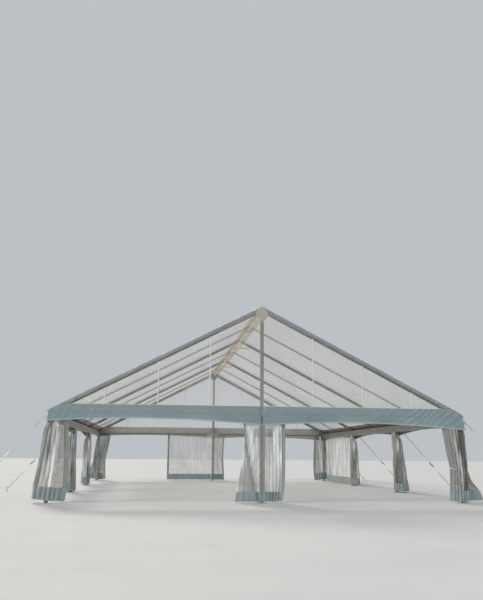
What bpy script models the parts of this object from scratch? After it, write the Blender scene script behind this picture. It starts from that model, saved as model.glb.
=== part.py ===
"""Clear-top frame marquee, three bays long, with gathered clear curtains at its legs.

Metres, Z up. X runs across the tent, Y along its ridge, and the ground is Z = 0 under the
middle of the plan. Each piece is one closed solid.
"""

import math

import bmesh
import bpy
from mathutils import Vector

# Overall frame
WIDTH = 12.192
BAY_LENGTH = 6.096
BAYS = 3
EAVE_HEIGHT = 2.48
RIDGE_HEIGHT = 5.62

# Covers
FABRIC = 0.006
RIDGE_BAND_HALF = 0.24
EAVE_BORDER = 0.35
VALANCE_DROP = 0.31
VALANCE_RISE = 0.15
ARCH_FULLNESS = 0.8
RAKE_BORDER = 0.16
GABLE_BORDER = 0.24
POLE_SLIT = 0.004

# Frame sections
LEG_SIZE = 0.10
LEG_INSET = 0.05
RAFTER_WIDTH = 0.08
RAFTER_DEPTH = 0.13
MID_RAFTER_WIDTH = 0.04
MID_RAFTER_DEPTH = 0.04
RIDGE_PURLIN_WIDTH = 0.08
EAVE_PURLIN_DEPTH = 0.13
POLE_SIZE = 0.10
BEAM_WIDTH = 0.04
BEAM_DEPTH = 0.06
TIE_DROP = 0.31
TIE_DEPTH = 0.035
TIE_WIDTH = 0.05
BASE_SIZE = 0.26
BASE_THICKNESS = 0.012
PIN_RADIUS = 0.014
PIN_HEAD_RADIUS = 0.024
PIN_HEIGHT = 0.026
PIN_HEAD_HEIGHT = 0.008

# Guy straps
STAKE_REACH = 2.10
STAKE_HEIGHT = 0.17
STAKE_RADIUS = 0.015
STAKE_CAP_RADIUS = 0.026
STAKE_CAP_HEIGHT = 0.018
STRAP_WIDTH = 0.05
STRAP_THICKNESS = 0.005
STRAP_FOOT = 0.11
RATCHET_AT = 0.61
RATCHET_LENGTH = 0.24
RATCHET_WIDTH = 0.08
RATCHET_DEPTH = 0.05
LUG_WIDTH = 0.06
LUG_HEIGHT = 0.03
LUG_REACH = 0.055

# Curtains
CURTAIN_TOP_DROP = 0.12
CURTAIN_CLEARANCE = 0.035
SHOULDER_DROP = 0.13
PLEAT_THICKNESS = 0.010
PLEAT_TOP_DEPTH = 0.028
PLEAT_DEPTH = 0.07
CORNER_TAIL = 0.32
CORNER_PLEATS = (5, 3)
SIDE_WALL_SETBACK = 0.42
SIDE_WALL_PLEATS = 16
BUNDLE_REACH = 0.26
BUNDLE_POINTS = 28
BUNDLE_FOLD = 0.22

# Each gable curtain: the end of the tent it hangs at, its side of the king pole, its pleats,
# and its reach from the middle of the tent at the five curtain heights
GABLE_CURTAINS = {
    "front_curtain_left": (-1, -1, 5, (0.55, 0.53, 0.51, 0.57, 0.755)),
    "front_curtain_right": (-1, 1, 5, (0.685, 0.685, 0.685, 0.68, 0.595)),
    "back_curtain": (1, 1, 4, (0.60, 0.60, 0.58, 0.55, 0.62)),
    "back_wall": (1, -1, 12, (2.40, 2.40, 2.40, 2.40, 2.40)),
}

# Corner curtains at the five heights: width along the gable, then how far the corner and the
# side edge stand outside the leg
SWEPT = ((0.54, 0.0, 0.0), (0.54, 0.0, 0.0), (0.545, 0.07, 0.04), (0.59, 0.15, 0.11), (0.65, 0.30, 0.18))
FLAPPED = ((0.595, 0.0, 0.0), (0.595, 0.0, 0.0), (0.58, 0.06, 0.06), (0.43, 0.06, 0.25), (0.48, 0.05, 0.52))

# Curtains gathered round the inner legs: reach inwards and outwards from the leg's middle
# at the head, the shoulder, mid height and the foot, for each side and frame number
SIDE_CURTAINS = {
    ("right", 2): ((0.14, 0.085), (0.13, 0.22), (0.13, 0.30), (0.13, 0.48)),
    ("right", 3): ((0.14, 0.085), (0.13, 0.18), (0.14, 0.22), (0.14, 0.28)),
    ("left", 2): ((0.14, 0.085), (0.13, 0.17), (0.15, 0.20), (0.20, 0.26)),
    ("left", 3): ((0.14, 0.085), (0.13, 0.18), (0.15, 0.20), (0.16, 0.24)),
}

# Fitting gap between pieces that touch
GAP = 0.0003

# Derived lines of the roof and the frame
HALF_WIDTH = WIDTH / 2
LENGTH = BAY_LENGTH * BAYS
HALF_LENGTH = LENGTH / 2
RISE = (RIDGE_HEIGHT - EAVE_HEIGHT) / HALF_WIDTH
PITCH = math.atan(RISE)
FABRIC_DROP = FABRIC / math.cos(PITCH)
RAFTER_DROP = RAFTER_DEPTH / math.cos(PITCH)
MID_RAFTER_DROP = MID_RAFTER_DEPTH / math.cos(PITCH)
LEG_OUT = HALF_WIDTH - LEG_INSET
LEG_IN = LEG_OUT - LEG_SIZE
END_FRAME_Y = HALF_LENGTH - LEG_INSET - LEG_SIZE / 2
FRAMES = [-END_FRAME_Y] + [BAY_LENGTH * k - HALF_LENGTH for k in range(1, BAYS)] + [END_FRAME_Y]
MID_BAYS = [BAY_LENGTH * (k + 0.5) - HALF_LENGTH for k in range(BAYS)]
PURLIN_HALF = RIDGE_PURLIN_WIDTH / 2
VALANCE_FOOT = EAVE_HEIGHT - VALANCE_DROP
BORDER_TOP = EAVE_HEIGHT + GABLE_BORDER
POLE_FRONT = HALF_LENGTH - FABRIC - GAP
POLE_BACK = POLE_FRONT - POLE_SIZE
CURTAIN_TOP = EAVE_HEIGHT - CURTAIN_TOP_DROP
CURTAIN_HEIGHTS = (
    CURTAIN_TOP,
    VALANCE_FOOT - FABRIC,
    VALANCE_FOOT - SHOULDER_DROP,
    CURTAIN_TOP / 2,
    CURTAIN_CLEARANCE,
)
BOX_CORNERS = ((0, 0), (1, 0), (1, 1), (0, 1))
SIDES = {"left": -1, "right": 1}
ENDS = {"front": -1, "back": 1}


def roof_z(x):
    """Top of the cover above a point across the tent."""
    return RIDGE_HEIGHT - abs(x) * RISE


def frame_top(x):
    """Top of the rafters, just under the cover."""
    return roof_z(x) - FABRIC_DROP - GAP


def rafter_foot(x):
    """Underside of the main rafters."""
    return frame_top(x) - RAFTER_DROP


EAVE_PURLIN_FOOT = rafter_foot(LEG_OUT) - GAP - EAVE_PURLIN_DEPTH
RIDGE_PURLIN_FOOT = rafter_foot(PURLIN_HALF + GAP)


# Mesh makers


def material(name, color, roughness, metallic=0.0):
    surface = bpy.data.materials.new(name)
    surface.use_nodes = True
    shader = surface.node_tree.nodes["Principled BSDF"]
    shader.inputs["Base Color"].default_value = (*color, 1.0)
    shader.inputs["Roughness"].default_value = roughness
    shader.inputs["Metallic"].default_value = metallic
    return surface


def solid(name, points, faces, surface):
    """One object from points and faces, with its faces turned outwards."""
    mesh = bpy.data.meshes.new(name)
    mesh.from_pydata([tuple(p) for p in points], [], faces)
    work = bmesh.new()
    work.from_mesh(mesh)
    bmesh.ops.recalc_face_normals(work, faces=work.faces)
    work.to_mesh(mesh)
    work.free()
    mesh.materials.append(surface)
    item = bpy.data.objects.new(name, mesh)
    bpy.context.collection.objects.link(item)
    return item


def prism(name, outline, along, low, high, surface):
    """An outline in the plane across the axis named along, drawn from low to high."""
    place = {
        "X": lambda a, b, c: (c, a, b),
        "Y": lambda a, b, c: (a, c, b),
        "Z": lambda a, b, c: (a, b, c),
    }[along]
    count = len(outline)
    points = [place(a, b, c) for c in (low, high) for a, b in outline]
    faces = [list(range(count)), list(range(count, 2 * count))]
    faces += [[i, (i + 1) % count, count + (i + 1) % count, count + i] for i in range(count)]
    return solid(name, points, faces, surface)


def box(name, low, high, surface):
    outline = [((low[0], high[0])[i], (low[1], high[1])[j]) for i, j in BOX_CORNERS]
    return prism(name, outline, "Z", low[2], high[2], surface)


def rod(name, centre, radius, low, high, surface, sides=10):
    turns = [2 * math.pi * k / sides for k in range(sides)]
    outline = [(centre[0] + radius * math.cos(t), centre[1] + radius * math.sin(t)) for t in turns]
    return prism(name, outline, "Z", low, high, surface)


def settle(item, others, operation):
    """Joins or cuts item with the others, which are then removed."""
    for other in others:
        step = item.modifiers.new(operation.lower(), "BOOLEAN")
        step.operation = operation
        step.object = other
    bpy.context.view_layer.update()
    done = item.evaluated_get(bpy.context.evaluated_depsgraph_get())
    mesh = bpy.data.meshes.new_from_object(done)
    item.modifiers.clear()
    item.data = mesh
    for other in others:
        bpy.data.objects.remove(other, do_unlink=True)
    return item


def copy_of(item, name, y, turned):
    """The same piece at another frame; turned puts it on the left side."""
    twin = bpy.data.objects.new(name, item.data)
    bpy.context.collection.objects.link(twin)
    twin.location.y = y
    twin.rotation_euler.z = math.pi if turned else 0.0
    return twin


def at_every_frame(item, kind):
    """Right and left copies of a right-hand piece at each frame."""
    for number, y in enumerate(FRAMES, start=1):
        copy_of(item, f"{kind}_right_{number}", y, False)
        copy_of(item, f"{kind}_left_{number}", y, True)
    bpy.data.objects.remove(item, do_unlink=True)


def arch(low, high, steps=10):
    """A valance's lower edge between two supports, as (place, height) without its ends."""
    shares = [k / steps for k in range(1, steps)]
    lift = [math.sin(math.pi * s) ** ARCH_FULLNESS for s in shares]
    return [(low + s * (high - low), VALANCE_FOOT + VALANCE_RISE * h) for s, h in zip(shares, lift)]


# Aluminium frame


def base_plate(centre_x, centre_y, surface):
    """A square foot plate with two driven pins, one on each side along the tent."""
    half = BASE_SIZE / 2
    low = (centre_x - half, centre_y - half, 0)
    high = (centre_x + half, centre_y + half, BASE_THICKNESS)
    pieces = [box("plate", low, high, surface)]
    for side in (-1, 1):
        spot = (centre_x, centre_y + side * (half - PIN_HEAD_RADIUS * 1.5))
        pieces.append(rod("pin", spot, PIN_RADIUS, BASE_THICKNESS / 2, PIN_HEIGHT, surface))
        head = PIN_HEIGHT + PIN_HEAD_HEIGHT
        pieces.append(rod("head", spot, PIN_HEAD_RADIUS, PIN_HEIGHT - GAP, head, surface))
    return pieces


def legs(surface):
    half = LEG_SIZE / 2
    low = (LEG_IN, -half, BASE_THICKNESS / 2)
    high = (LEG_OUT, half, EAVE_PURLIN_FOOT - GAP)
    leg = box("leg", low, high, surface)
    settle(leg, base_plate(LEG_IN + half, 0, surface), "UNION")
    at_every_frame(leg, "leg")


def rafters(surface):
    inner = PURLIN_HALF + GAP
    outline = [
        (inner, frame_top(inner)),
        (LEG_OUT, frame_top(LEG_OUT)),
        (LEG_OUT, rafter_foot(LEG_OUT)),
        (inner, rafter_foot(inner)),
    ]
    half = RAFTER_WIDTH / 2
    at_every_frame(prism("rafter", outline, "Y", -half, half, surface), "rafter")


def ridge_purlin(surface):
    outline = [
        (-PURLIN_HALF, RIDGE_PURLIN_FOOT),
        (PURLIN_HALF, RIDGE_PURLIN_FOOT),
        (PURLIN_HALF, frame_top(PURLIN_HALF)),
        (0, frame_top(0)),
        (-PURLIN_HALF, frame_top(PURLIN_HALF)),
    ]
    reach = HALF_LENGTH - LEG_INSET
    prism("ridge_purlin", outline, "Y", -reach, reach, surface)


def eave_purlins(surface):
    """The beam over the leg heads; its top takes the slope of the rafters on it."""
    reach = HALF_LENGTH - LEG_INSET
    for name, side in SIDES.items():
        outline = [
            (side * LEG_IN, EAVE_PURLIN_FOOT),
            (side * LEG_OUT, EAVE_PURLIN_FOOT),
            (side * LEG_OUT, rafter_foot(LEG_OUT) - GAP),
            (side * LEG_IN, rafter_foot(LEG_IN) - GAP),
        ]
        prism(f"eave_purlin_{name}", outline, "Y", -reach, reach, surface)


def mid_rafters(surface):
    """A light pair of rafters in mid bay, joined by a yoke under the ridge purlin."""
    inner = PURLIN_HALF + GAP
    yoke_top = RIDGE_PURLIN_FOOT - GAP
    yoke_out = inner + MID_RAFTER_DEPTH
    foot_in = LEG_IN + MID_RAFTER_DEPTH
    half_outline = [
        (inner, yoke_top),
        (inner, frame_top(inner)),
        (LEG_OUT, frame_top(LEG_OUT)),
        (LEG_OUT, rafter_foot(LEG_OUT)),
        (foot_in, rafter_foot(foot_in)),
        (foot_in, frame_top(foot_in) - MID_RAFTER_DROP),
        (yoke_out, frame_top(yoke_out) - MID_RAFTER_DROP),
        (yoke_out, yoke_top - MID_RAFTER_DEPTH),
    ]
    outline = half_outline + [(-x, z) for x, z in reversed(half_outline)]
    half = MID_RAFTER_WIDTH / 2
    for number, y in enumerate(MID_BAYS, start=1):
        prism(f"mid_rafter_{number}", outline, "Y", y - half, y + half, surface)


def crown_ties(surface):
    """A short level tie under the crown of each inner frame, cut to the rafters' slope."""
    top = RIDGE_HEIGHT - TIE_DROP
    foot = top - TIE_DEPTH
    crown = rafter_foot(0) - GAP
    top_half = (crown - top) / RISE
    foot_half = (crown - foot) / RISE
    outline = [(-foot_half, foot), (foot_half, foot), (top_half, top), (-top_half, top)]
    half = TIE_WIDTH / 2
    for number, y in list(enumerate(FRAMES, start=1))[1:-1]:
        prism(f"crown_tie_{number}", outline, "Y", y - half, y + half, surface)


def king_poles(surface):
    """The gable uprights, from a foot plate to the underside of the crown."""
    half = POLE_SIZE / 2
    outline = [
        (-half, BASE_THICKNESS / 2),
        (half, BASE_THICKNESS / 2),
        (half, rafter_foot(half) - GAP),
        (PURLIN_HALF + GAP, RIDGE_PURLIN_FOOT - GAP),
        (-PURLIN_HALF - GAP, RIDGE_PURLIN_FOOT - GAP),
        (-half, rafter_foot(half) - GAP),
    ]
    pole = prism("king_pole_back", outline, "Y", POLE_BACK, POLE_FRONT, surface)
    settle(pole, base_plate(0, POLE_FRONT - half, surface), "UNION")
    copy_of(pole, "king_pole_front", 0, True)


def gable_beams(surface):
    """The level beam between the corner legs, behind the king pole; the curtains hang on it."""
    reach = LEG_IN - GAP
    top = rafter_foot(LEG_IN) - GAP
    back = POLE_BACK - GAP
    for name, side in ENDS.items():
        ends = sorted((side * back, side * (back - BEAM_WIDTH)))
        low = (-reach, ends[0], top - BEAM_DEPTH)
        high = (reach, ends[1], top)
        box(f"gable_beam_{name}", low, high, surface)


# Covers


def strip(name, start, end, side, surface):
    """A band of the roof cover between two places across the tent."""
    outline = [
        (side * start, roof_z(start)),
        (side * end, roof_z(end)),
        (side * end, roof_z(end) - FABRIC_DROP),
        (side * start, roof_z(start) - FABRIC_DROP),
    ]
    return prism(name, outline, "Y", -HALF_LENGTH, HALF_LENGTH, surface)


def roof_covers(clear, white):
    band = RIDGE_BAND_HALF * math.cos(PITCH)
    eave = HALF_WIDTH - EAVE_BORDER * math.cos(PITCH)
    outline = [
        (-band, roof_z(band)),
        (0, RIDGE_HEIGHT),
        (band, roof_z(band)),
        (band, roof_z(band) - FABRIC_DROP),
        (0, RIDGE_HEIGHT - FABRIC_DROP),
        (-band, roof_z(band) - FABRIC_DROP),
    ]
    prism("ridge_band", outline, "Y", -HALF_LENGTH, HALF_LENGTH, white)
    for name, side in SIDES.items():
        strip(f"roof_clear_{name}", band + GAP, eave - GAP, side, clear)
        eave_cover(name, side, eave, white)


def eave_cover(name, side, start, surface):
    """The opaque border along an eave with its hanging valance, scalloped in each bay."""
    inner = HALF_WIDTH - FABRIC
    outline = [
        (side * start, roof_z(start)),
        (side * HALF_WIDTH, EAVE_HEIGHT),
        (side * HALF_WIDTH, VALANCE_FOOT),
        (side * inner, VALANCE_FOOT),
        (side * inner, roof_z(inner) - FABRIC_DROP),
        (side * start, roof_z(start) - FABRIC_DROP),
    ]
    cover = prism(f"eave_cover_{name}", outline, "Y", -HALF_LENGTH, HALF_LENGTH, surface)
    cut = sorted((side * (inner - FABRIC), side * (HALF_WIDTH + FABRIC)))
    scallops = []
    for k in range(BAYS):
        low = BAY_LENGTH * k - HALF_LENGTH
        high = low + BAY_LENGTH
        below = VALANCE_FOOT - FABRIC
        edge = [(low, below), (high, below), *reversed(arch(low, high))]
        scallops.append(prism("scallop", edge, "X", *cut, surface))
    slot_foot, slot_head = lug_heights(GAP)
    half = LUG_WIDTH / 2 + GAP
    for y in FRAMES:
        low = (cut[0], y - half, slot_foot)
        high = (cut[1], y + half, slot_head)
        scallops.append(box("slot", low, high, surface))
    settle(cover, scallops, "DIFFERENCE")


def rake_line(drop):
    """Half-span and crown of a triangle that lies drop below the cover, above the border."""
    crown = RIDGE_HEIGHT - FABRIC_DROP - GAP - drop
    return (crown - BORDER_TOP) / RISE, crown


def gable_covers(clear, white):
    """Each gable's opaque frame with its valance, and the clear triangle inside it."""
    reach = HALF_WIDTH - FABRIC - GAP
    outline = [
        (-reach, VALANCE_FOOT),
        *arch(-reach, 0),
        (0, VALANCE_FOOT),
        *arch(0, reach),
        (reach, VALANCE_FOOT),
        (reach, frame_top(reach)),
        (0, frame_top(0)),
        (-reach, frame_top(reach)),
    ]
    hole_half, hole_crown = rake_line(RAKE_BORDER / math.cos(PITCH))
    hole = [(-hole_half, BORDER_TOP), (hole_half, BORDER_TOP), (0, hole_crown)]
    inset = GAP * 3
    window = [
        (-hole_half + inset, BORDER_TOP + GAP),
        (hole_half - inset, BORDER_TOP + GAP),
        (0, hole_crown - GAP),
    ]
    notch = POLE_SIZE / 2 + POLE_SLIT
    for name, side in ENDS.items():
        low, high = sorted((side * HALF_LENGTH, side * (HALF_LENGTH - FABRIC)))
        border = prism(f"gable_border_{name}", outline, "Y", low, high, white)
        opening = prism("hole", hole, "Y", low - FABRIC, high + FABRIC, white)
        corner = (-notch, low - FABRIC, EAVE_HEIGHT + FABRIC)
        far = (notch, high + FABRIC, BORDER_TOP + FABRIC)
        settle(border, [opening, box("notch", corner, far, white)], "DIFFERENCE")
        prism(f"gable_window_{name}", window, "Y", low, high, clear)


# Curtains


def loft(name, rings, surface):
    """A closed solid through rings of equally many points, in triangles.

    A ring's second half may run back along its first, so there the squares are split the
    other way and both sides of a thin band bend alike.
    """
    count = len(rings[0])
    points = [p for ring in rings for p in ring]
    faces = []
    for k in range(len(rings) - 1):
        for i in range(count):
            a = k * count + i
            b = k * count + (i + 1) % count
            if i < count // 2:
                faces += [[a, b, b + count], [a, b + count, a + count]]
            else:
                faces += [[a, b, a + count], [b, b + count, a + count]]
    last = count * (len(rings) - 1)
    faces += [list(range(count)), list(range(last, last + count))]
    return solid(name, points, faces, surface)


def pleat_ring(corners, outwards, pleats, depth, z):
    """A pleated band's outline at one height: along its back, then back along its front.

    corners are the plan points of its back line, outwards the direction of its front on
    each stretch between them, and pleats the number of folds on each stretch.
    """
    back, front = [], []
    for part, count in enumerate(pleats):
        start, end = Vector(corners[part]), Vector(corners[part + 1])
        first = 1 if part else 0
        for i in range(first, 2 * count + 1):
            out = Vector(outwards[part])
            if i == 2 * count and part + 1 < len(pleats):
                out = out + Vector(outwards[part + 1])
            place = start.lerp(end, i / (2 * count)) + out * depth * (i % 2)
            back.append((*place, z))
            front.append((*(place + out * PLEAT_THICKNESS), z))
    return back + front[::-1]


def hanging(name, rows, outwards, pleats, surface):
    """A gathered curtain; each row is (height, pleat depth, plan points of its back line)."""
    rings = [pleat_ring(corners, outwards, pleats, depth, z) for z, depth, corners in rows]
    return loft(name, rings, surface)


def gable_curtains(surface):
    """Curtains beside the king poles, and the closed panel in the far gable."""
    beside = POLE_SIZE / 2 + POLE_SLIT
    for name, (end, side, pleats, reaches) in GABLE_CURTAINS.items():
        y = end * POLE_BACK
        rows = []
        for z, reach in zip(CURTAIN_HEIGHTS, reaches):
            rows.append((z, PLEAT_DEPTH, [(side * beside, y), (side * reach, y)]))
        hanging(name, rows, [(0, end)], [pleats], surface)


def corner_curtain(end_name, side_name, shape, surface):
    """A curtain that turns round the corner leg on one side at one end of the tent."""
    end, side = ENDS[end_name], SIDES[side_name]
    depths = (PLEAT_TOP_DEPTH, PLEAT_TOP_DEPTH, PLEAT_TOP_DEPTH, PLEAT_DEPTH, PLEAT_DEPTH)
    y = end * (HALF_LENGTH - LEG_INSET + GAP)
    tail_y = end * (HALF_LENGTH - LEG_INSET - CORNER_TAIL)
    rows = []
    for z, depth, (width, corner_out, tail_out) in zip(CURTAIN_HEIGHTS, depths, shape):
        edge = (side * (LEG_OUT - width), y)
        corner = (side * (LEG_OUT + GAP + corner_out), y)
        tail = (side * (LEG_OUT + GAP + tail_out), tail_y)
        rows.append((z, depth, [edge, corner, tail]))
    name = f"corner_curtain_{end_name}_{side_name}"
    hanging(name, rows, [(0, end), (side, 0)], CORNER_PLEATS, surface)


def corner_curtains(surface):
    corner_curtain("front", "left", SWEPT, surface)
    corner_curtain("front", "right", FLAPPED, surface)
    corner_curtain("back", "left", FLAPPED, surface)
    corner_curtain("back", "right", SWEPT, surface)


def bundle_ring(side, y, inwards, outwards, along, z):
    """A star of folds round an inner leg at one height."""
    middle = LEG_IN + LEG_SIZE / 2 + (outwards - inwards) / 2
    across = (outwards + inwards) / 2
    ring = []
    for k in range(BUNDLE_POINTS):
        turn = 2 * math.pi * k / BUNDLE_POINTS
        share = 1 - BUNDLE_FOLD * ((k + 1) % 2)
        x = side * (middle + across * share * math.cos(turn))
        ring.append((x, y + along * share * math.sin(turn), z))
    return ring


def leg_curtains(surface):
    """Two sidewalls gathered round each inner leg, on the right and on the left."""
    narrow = BUNDLE_REACH * (1 - BUNDLE_FOLD)
    half = LEG_SIZE / 2 + GAP
    for (hand, number), (head, shoulder, middle, foot) in SIDE_CURTAINS.items():
        side = SIDES[hand]
        y = FRAMES[number - 1]
        rings = [
            bundle_ring(side, y, *head, narrow, EAVE_PURLIN_FOOT - GAP),
            bundle_ring(side, y, *head, narrow, VALANCE_FOOT - FABRIC),
            bundle_ring(side, y, *shoulder, BUNDLE_REACH, VALANCE_FOOT - SHOULDER_DROP),
            bundle_ring(side, y, *middle, BUNDLE_REACH, CURTAIN_TOP / 2),
            bundle_ring(side, y, *foot, BUNDLE_REACH, CURTAIN_CLEARANCE),
        ]
        bundle = loft(f"side_curtain_{hand}_{number}", rings, surface)
        across = sorted((side * (LEG_IN - GAP), side * (LEG_OUT + GAP)))
        bore = box("bore", (across[0], y - half, 0), (across[1], y + half, EAVE_HEIGHT), surface)
        settle(bundle, [bore], "DIFFERENCE")


def side_wall(surface):
    """The sidewall that is drawn shut in the last bay on the right."""
    start = FRAMES[-2] + SIDE_WALL_SETBACK
    end = HALF_LENGTH - LEG_INSET - SIDE_WALL_SETBACK
    x = LEG_OUT + GAP
    line = [(x, start), (x, end)]
    rows = [
        (CURTAIN_TOP, PLEAT_TOP_DEPTH, line),
        (CURTAIN_CLEARANCE, PLEAT_TOP_DEPTH, line),
    ]
    hanging("side_wall", rows, [(1, 0)], [SIDE_WALL_PLEATS], surface)


# Guy straps


def lug_heights(slack):
    """Foot and head of the strap lug, which meets the end of the rafter."""
    middle = (rafter_foot(LEG_OUT) + frame_top(LEG_OUT)) / 2
    return middle - LUG_HEIGHT / 2 - slack, middle + LUG_HEIGHT / 2 + slack


def slanted_bar(name, start, end, depth, width, surface):
    """A flat bar along a slope across the tent, from start to end as (x, z)."""
    line = (end - start).normalized()
    edge = Vector((-line.y, line.x)) * depth / 2
    outline = [tuple(start + edge), tuple(end + edge), tuple(end - edge), tuple(start - edge)]
    return prism(name, outline, "Y", -width / 2, width / 2, surface)


def guys(surface):
    """A lug at the eave, a ratchet strap down to a stake outside, and the stake."""
    foot, head = lug_heights(0.0)
    half = LUG_WIDTH / 2
    lug_end = LEG_OUT + GAP + LUG_REACH
    lug = box("guy", (LEG_OUT + GAP, -half, foot), (lug_end, half, head), surface)
    start = Vector((lug_end - LUG_HEIGHT / 2, (foot + head) / 2))
    end = Vector((HALF_WIDTH + STAKE_REACH, STRAP_FOOT))
    middle = start.lerp(end, RATCHET_AT)
    reach = (end - start).normalized() * RATCHET_LENGTH / 2
    head_end, foot_end = middle - reach, middle + reach
    spot = (end.x, 0.0)
    cap = STAKE_HEIGHT - STAKE_CAP_HEIGHT
    pieces = [
        slanted_bar("strap", start, end, STRAP_THICKNESS, STRAP_WIDTH, surface),
        slanted_bar("ratchet", head_end, foot_end, RATCHET_DEPTH, RATCHET_WIDTH, surface),
        rod("stake", spot, STAKE_RADIUS, 0, cap + GAP, surface),
        rod("cap", spot, STAKE_CAP_RADIUS, cap, STAKE_HEIGHT, surface),
    ]
    settle(lug, pieces, "UNION")
    at_every_frame(lug, "guy")


def build():
    for item in list(bpy.data.objects):
        bpy.data.objects.remove(item, do_unlink=True)
    aluminium = material("aluminium", (0.55, 0.56, 0.55), 0.45, 1.0)
    white = material("white_vinyl", (0.78, 0.80, 0.80), 0.5)
    clear = material("clear_vinyl", (0.85, 0.88, 0.90), 0.1)
    webbing = material("strap_webbing", (0.72, 0.70, 0.64), 0.8)
    legs(aluminium)
    rafters(aluminium)
    ridge_purlin(aluminium)
    eave_purlins(aluminium)
    mid_rafters(aluminium)
    crown_ties(aluminium)
    king_poles(aluminium)
    gable_beams(aluminium)
    roof_covers(clear, white)
    gable_covers(clear, white)
    gable_curtains(clear)
    corner_curtains(clear)
    leg_curtains(clear)
    side_wall(clear)
    guys(webbing)


build()
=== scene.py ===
"""Clear-top frame marquee: covers, curtains, frame fittings, guys, floor, light and camera."""

import math

import bmesh
import bpy
import numpy as np
from mathutils import Matrix, Vector, geometry


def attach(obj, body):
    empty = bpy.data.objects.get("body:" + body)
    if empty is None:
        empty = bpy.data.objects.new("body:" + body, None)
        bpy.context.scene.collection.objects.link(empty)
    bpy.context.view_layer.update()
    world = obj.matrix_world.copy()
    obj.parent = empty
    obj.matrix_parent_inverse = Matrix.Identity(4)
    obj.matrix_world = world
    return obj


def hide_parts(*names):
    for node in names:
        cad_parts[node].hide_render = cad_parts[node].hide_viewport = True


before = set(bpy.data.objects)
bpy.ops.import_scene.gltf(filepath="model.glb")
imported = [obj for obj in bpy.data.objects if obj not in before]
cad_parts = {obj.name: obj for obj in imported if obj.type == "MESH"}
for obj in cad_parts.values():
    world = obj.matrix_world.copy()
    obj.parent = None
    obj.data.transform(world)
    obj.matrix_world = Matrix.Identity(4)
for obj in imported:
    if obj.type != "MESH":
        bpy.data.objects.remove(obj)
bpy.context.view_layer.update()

# Sizes of the tent, as in its source
WIDTH = 12.192
BAY = 6.096
BAYS = 3
EAVE = 2.48
RIDGE = 5.62
COVER = 0.006
BAND_HALF = 0.24
EAVE_BORDER = 0.35
LEG = 0.10
FRAME_DEPTH = 0.13
RAFTER_WIDTH = 0.08
RIDGE_HALF = 0.04
BEAM_WIDTH = 0.04
BEAM_DEPTH = 0.06
FOOT_THICK = 0.012
STAKE_REACH = 2.10
HALF_WIDTH = WIDTH / 2
HALF_LENGTH = BAY * BAYS / 2
RISE = (RIDGE - EAVE) / HALF_WIDTH
PITCH = math.atan(RISE)
COS, SIN = math.cos(PITCH), math.sin(PITCH)
ROOF_REACH = HALF_WIDTH / COS
BORDER_TOP = EAVE + 0.24
VALANCE_FOOT = EAVE - 0.31
LEG_OUT = HALF_WIDTH - 0.05
LEG_IN = LEG_OUT - LEG
LEG_MIDDLE = LEG_IN + LEG / 2
END_Y = HALF_LENGTH - 0.10
PURLIN_END = HALF_LENGTH - 0.05
FRAMES = (-END_Y, -BAY / 2, BAY / 2, END_Y)
POLE_FRONT = HALF_LENGTH - COVER
POLE_BACK = POLE_FRONT - LEG
CURTAIN_TOP = EAVE - 0.12
CURTAIN_FOOT = 0.035
SIDES = {"left": -1, "right": 1}
ENDS = {"front": -1, "back": 1}
ACROSS, ALONG, UP = (1, 0, 0), (0, 1, 0), (0, 0, 1)

# Clearance between pieces that touch
GAP = 0.0006

# Thickness of sheets and of the strips on them
SHEET_THICK = 0.002
TRIM_THICK = 0.0015

# Sizes that the photo shows and the solids have in a plainer form
RAFTER_DEPTH = 0.08
RAKE_BORDER = 0.12
SIDE_FOOT = EAVE - 0.42
SLEEVE = 0.05
SLEEVE_CLIMB = (HALF_LENGTH - 1.40, PURLIN_END)
ROOF_SAG = 0.018
ROOF_RIPPLE = 0.012
PANEL = 1.524


def roof_z(x):
    """Height of the roof's line."""
    return RIDGE - np.abs(x) * RISE


def rafter_top(x):
    return roof_z(x) - COVER / COS - GAP


def rafter_foot(x):
    return rafter_top(x) - RAFTER_DEPTH / COS


def rafter_middle(x):
    return (rafter_top(x) + rafter_foot(x)) / 2


def frame_line(x):
    """Height of the line that purlins, gable beams and straps are set out from."""
    return rafter_top(x) - FRAME_DEPTH / COS


def sleeve(y):
    """How far the roof covers climb over the padded sleeve of each end rafter."""
    return SLEEVE * rising(np.abs(y), *SLEEVE_CLIMB)


PURLIN_FOOT = frame_line(LEG_OUT) - FRAME_DEPTH - GAP
RIDGE_PURLIN_FOOT = rafter_foot(RIDGE_HALF + GAP / 2)


# Noise and small numbers


def soft_noise(u, v, seed):
    """Smooth random values over a plane, from -1 to 1, the same ones each time."""
    size = 97
    table = np.random.default_rng(seed).uniform(-1, 1, (size, size))
    u, v = np.broadcast_arrays(np.asarray(u, float), np.asarray(v, float))
    low_u, low_v = np.floor(u), np.floor(v)
    share_u, share_v = (share * share * (3 - 2 * share) for share in (u - low_u, v - low_v))
    i, j = low_u.astype(int) % size, low_v.astype(int) % size
    i2, j2 = (i + 1) % size, (j + 1) % size
    near = table[i, j] * (1 - share_u) + table[i2, j] * share_u
    far = table[i, j2] * (1 - share_u) + table[i2, j2] * share_u
    return near * (1 - share_v) + far * share_v


def crests(phase):
    """Narrow ridges with wide hollows between them, from 0 to 1."""
    return (1 - np.abs(np.sin(phase))) ** 1.6


def rising(value, low, high):
    """0 below low, 1 above high, smooth between them."""
    share = np.clip((value - low) / (high - low), 0, 1)
    return share * share * (3 - 2 * share)


# Node graphs


class Wire:
    """A node's output that reckons like a number; each step adds a Math node."""

    def __init__(self, graph, socket):
        self.graph = graph
        self.socket = socket

    def __add__(self, other):
        return self.graph.math("ADD", self, other)

    def __sub__(self, other):
        return self.graph.math("SUBTRACT", self, other)

    def __mul__(self, other):
        return self.graph.math("MULTIPLY", self, other)

    def __abs__(self):
        return self.graph.math("ABSOLUTE", self)


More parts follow.
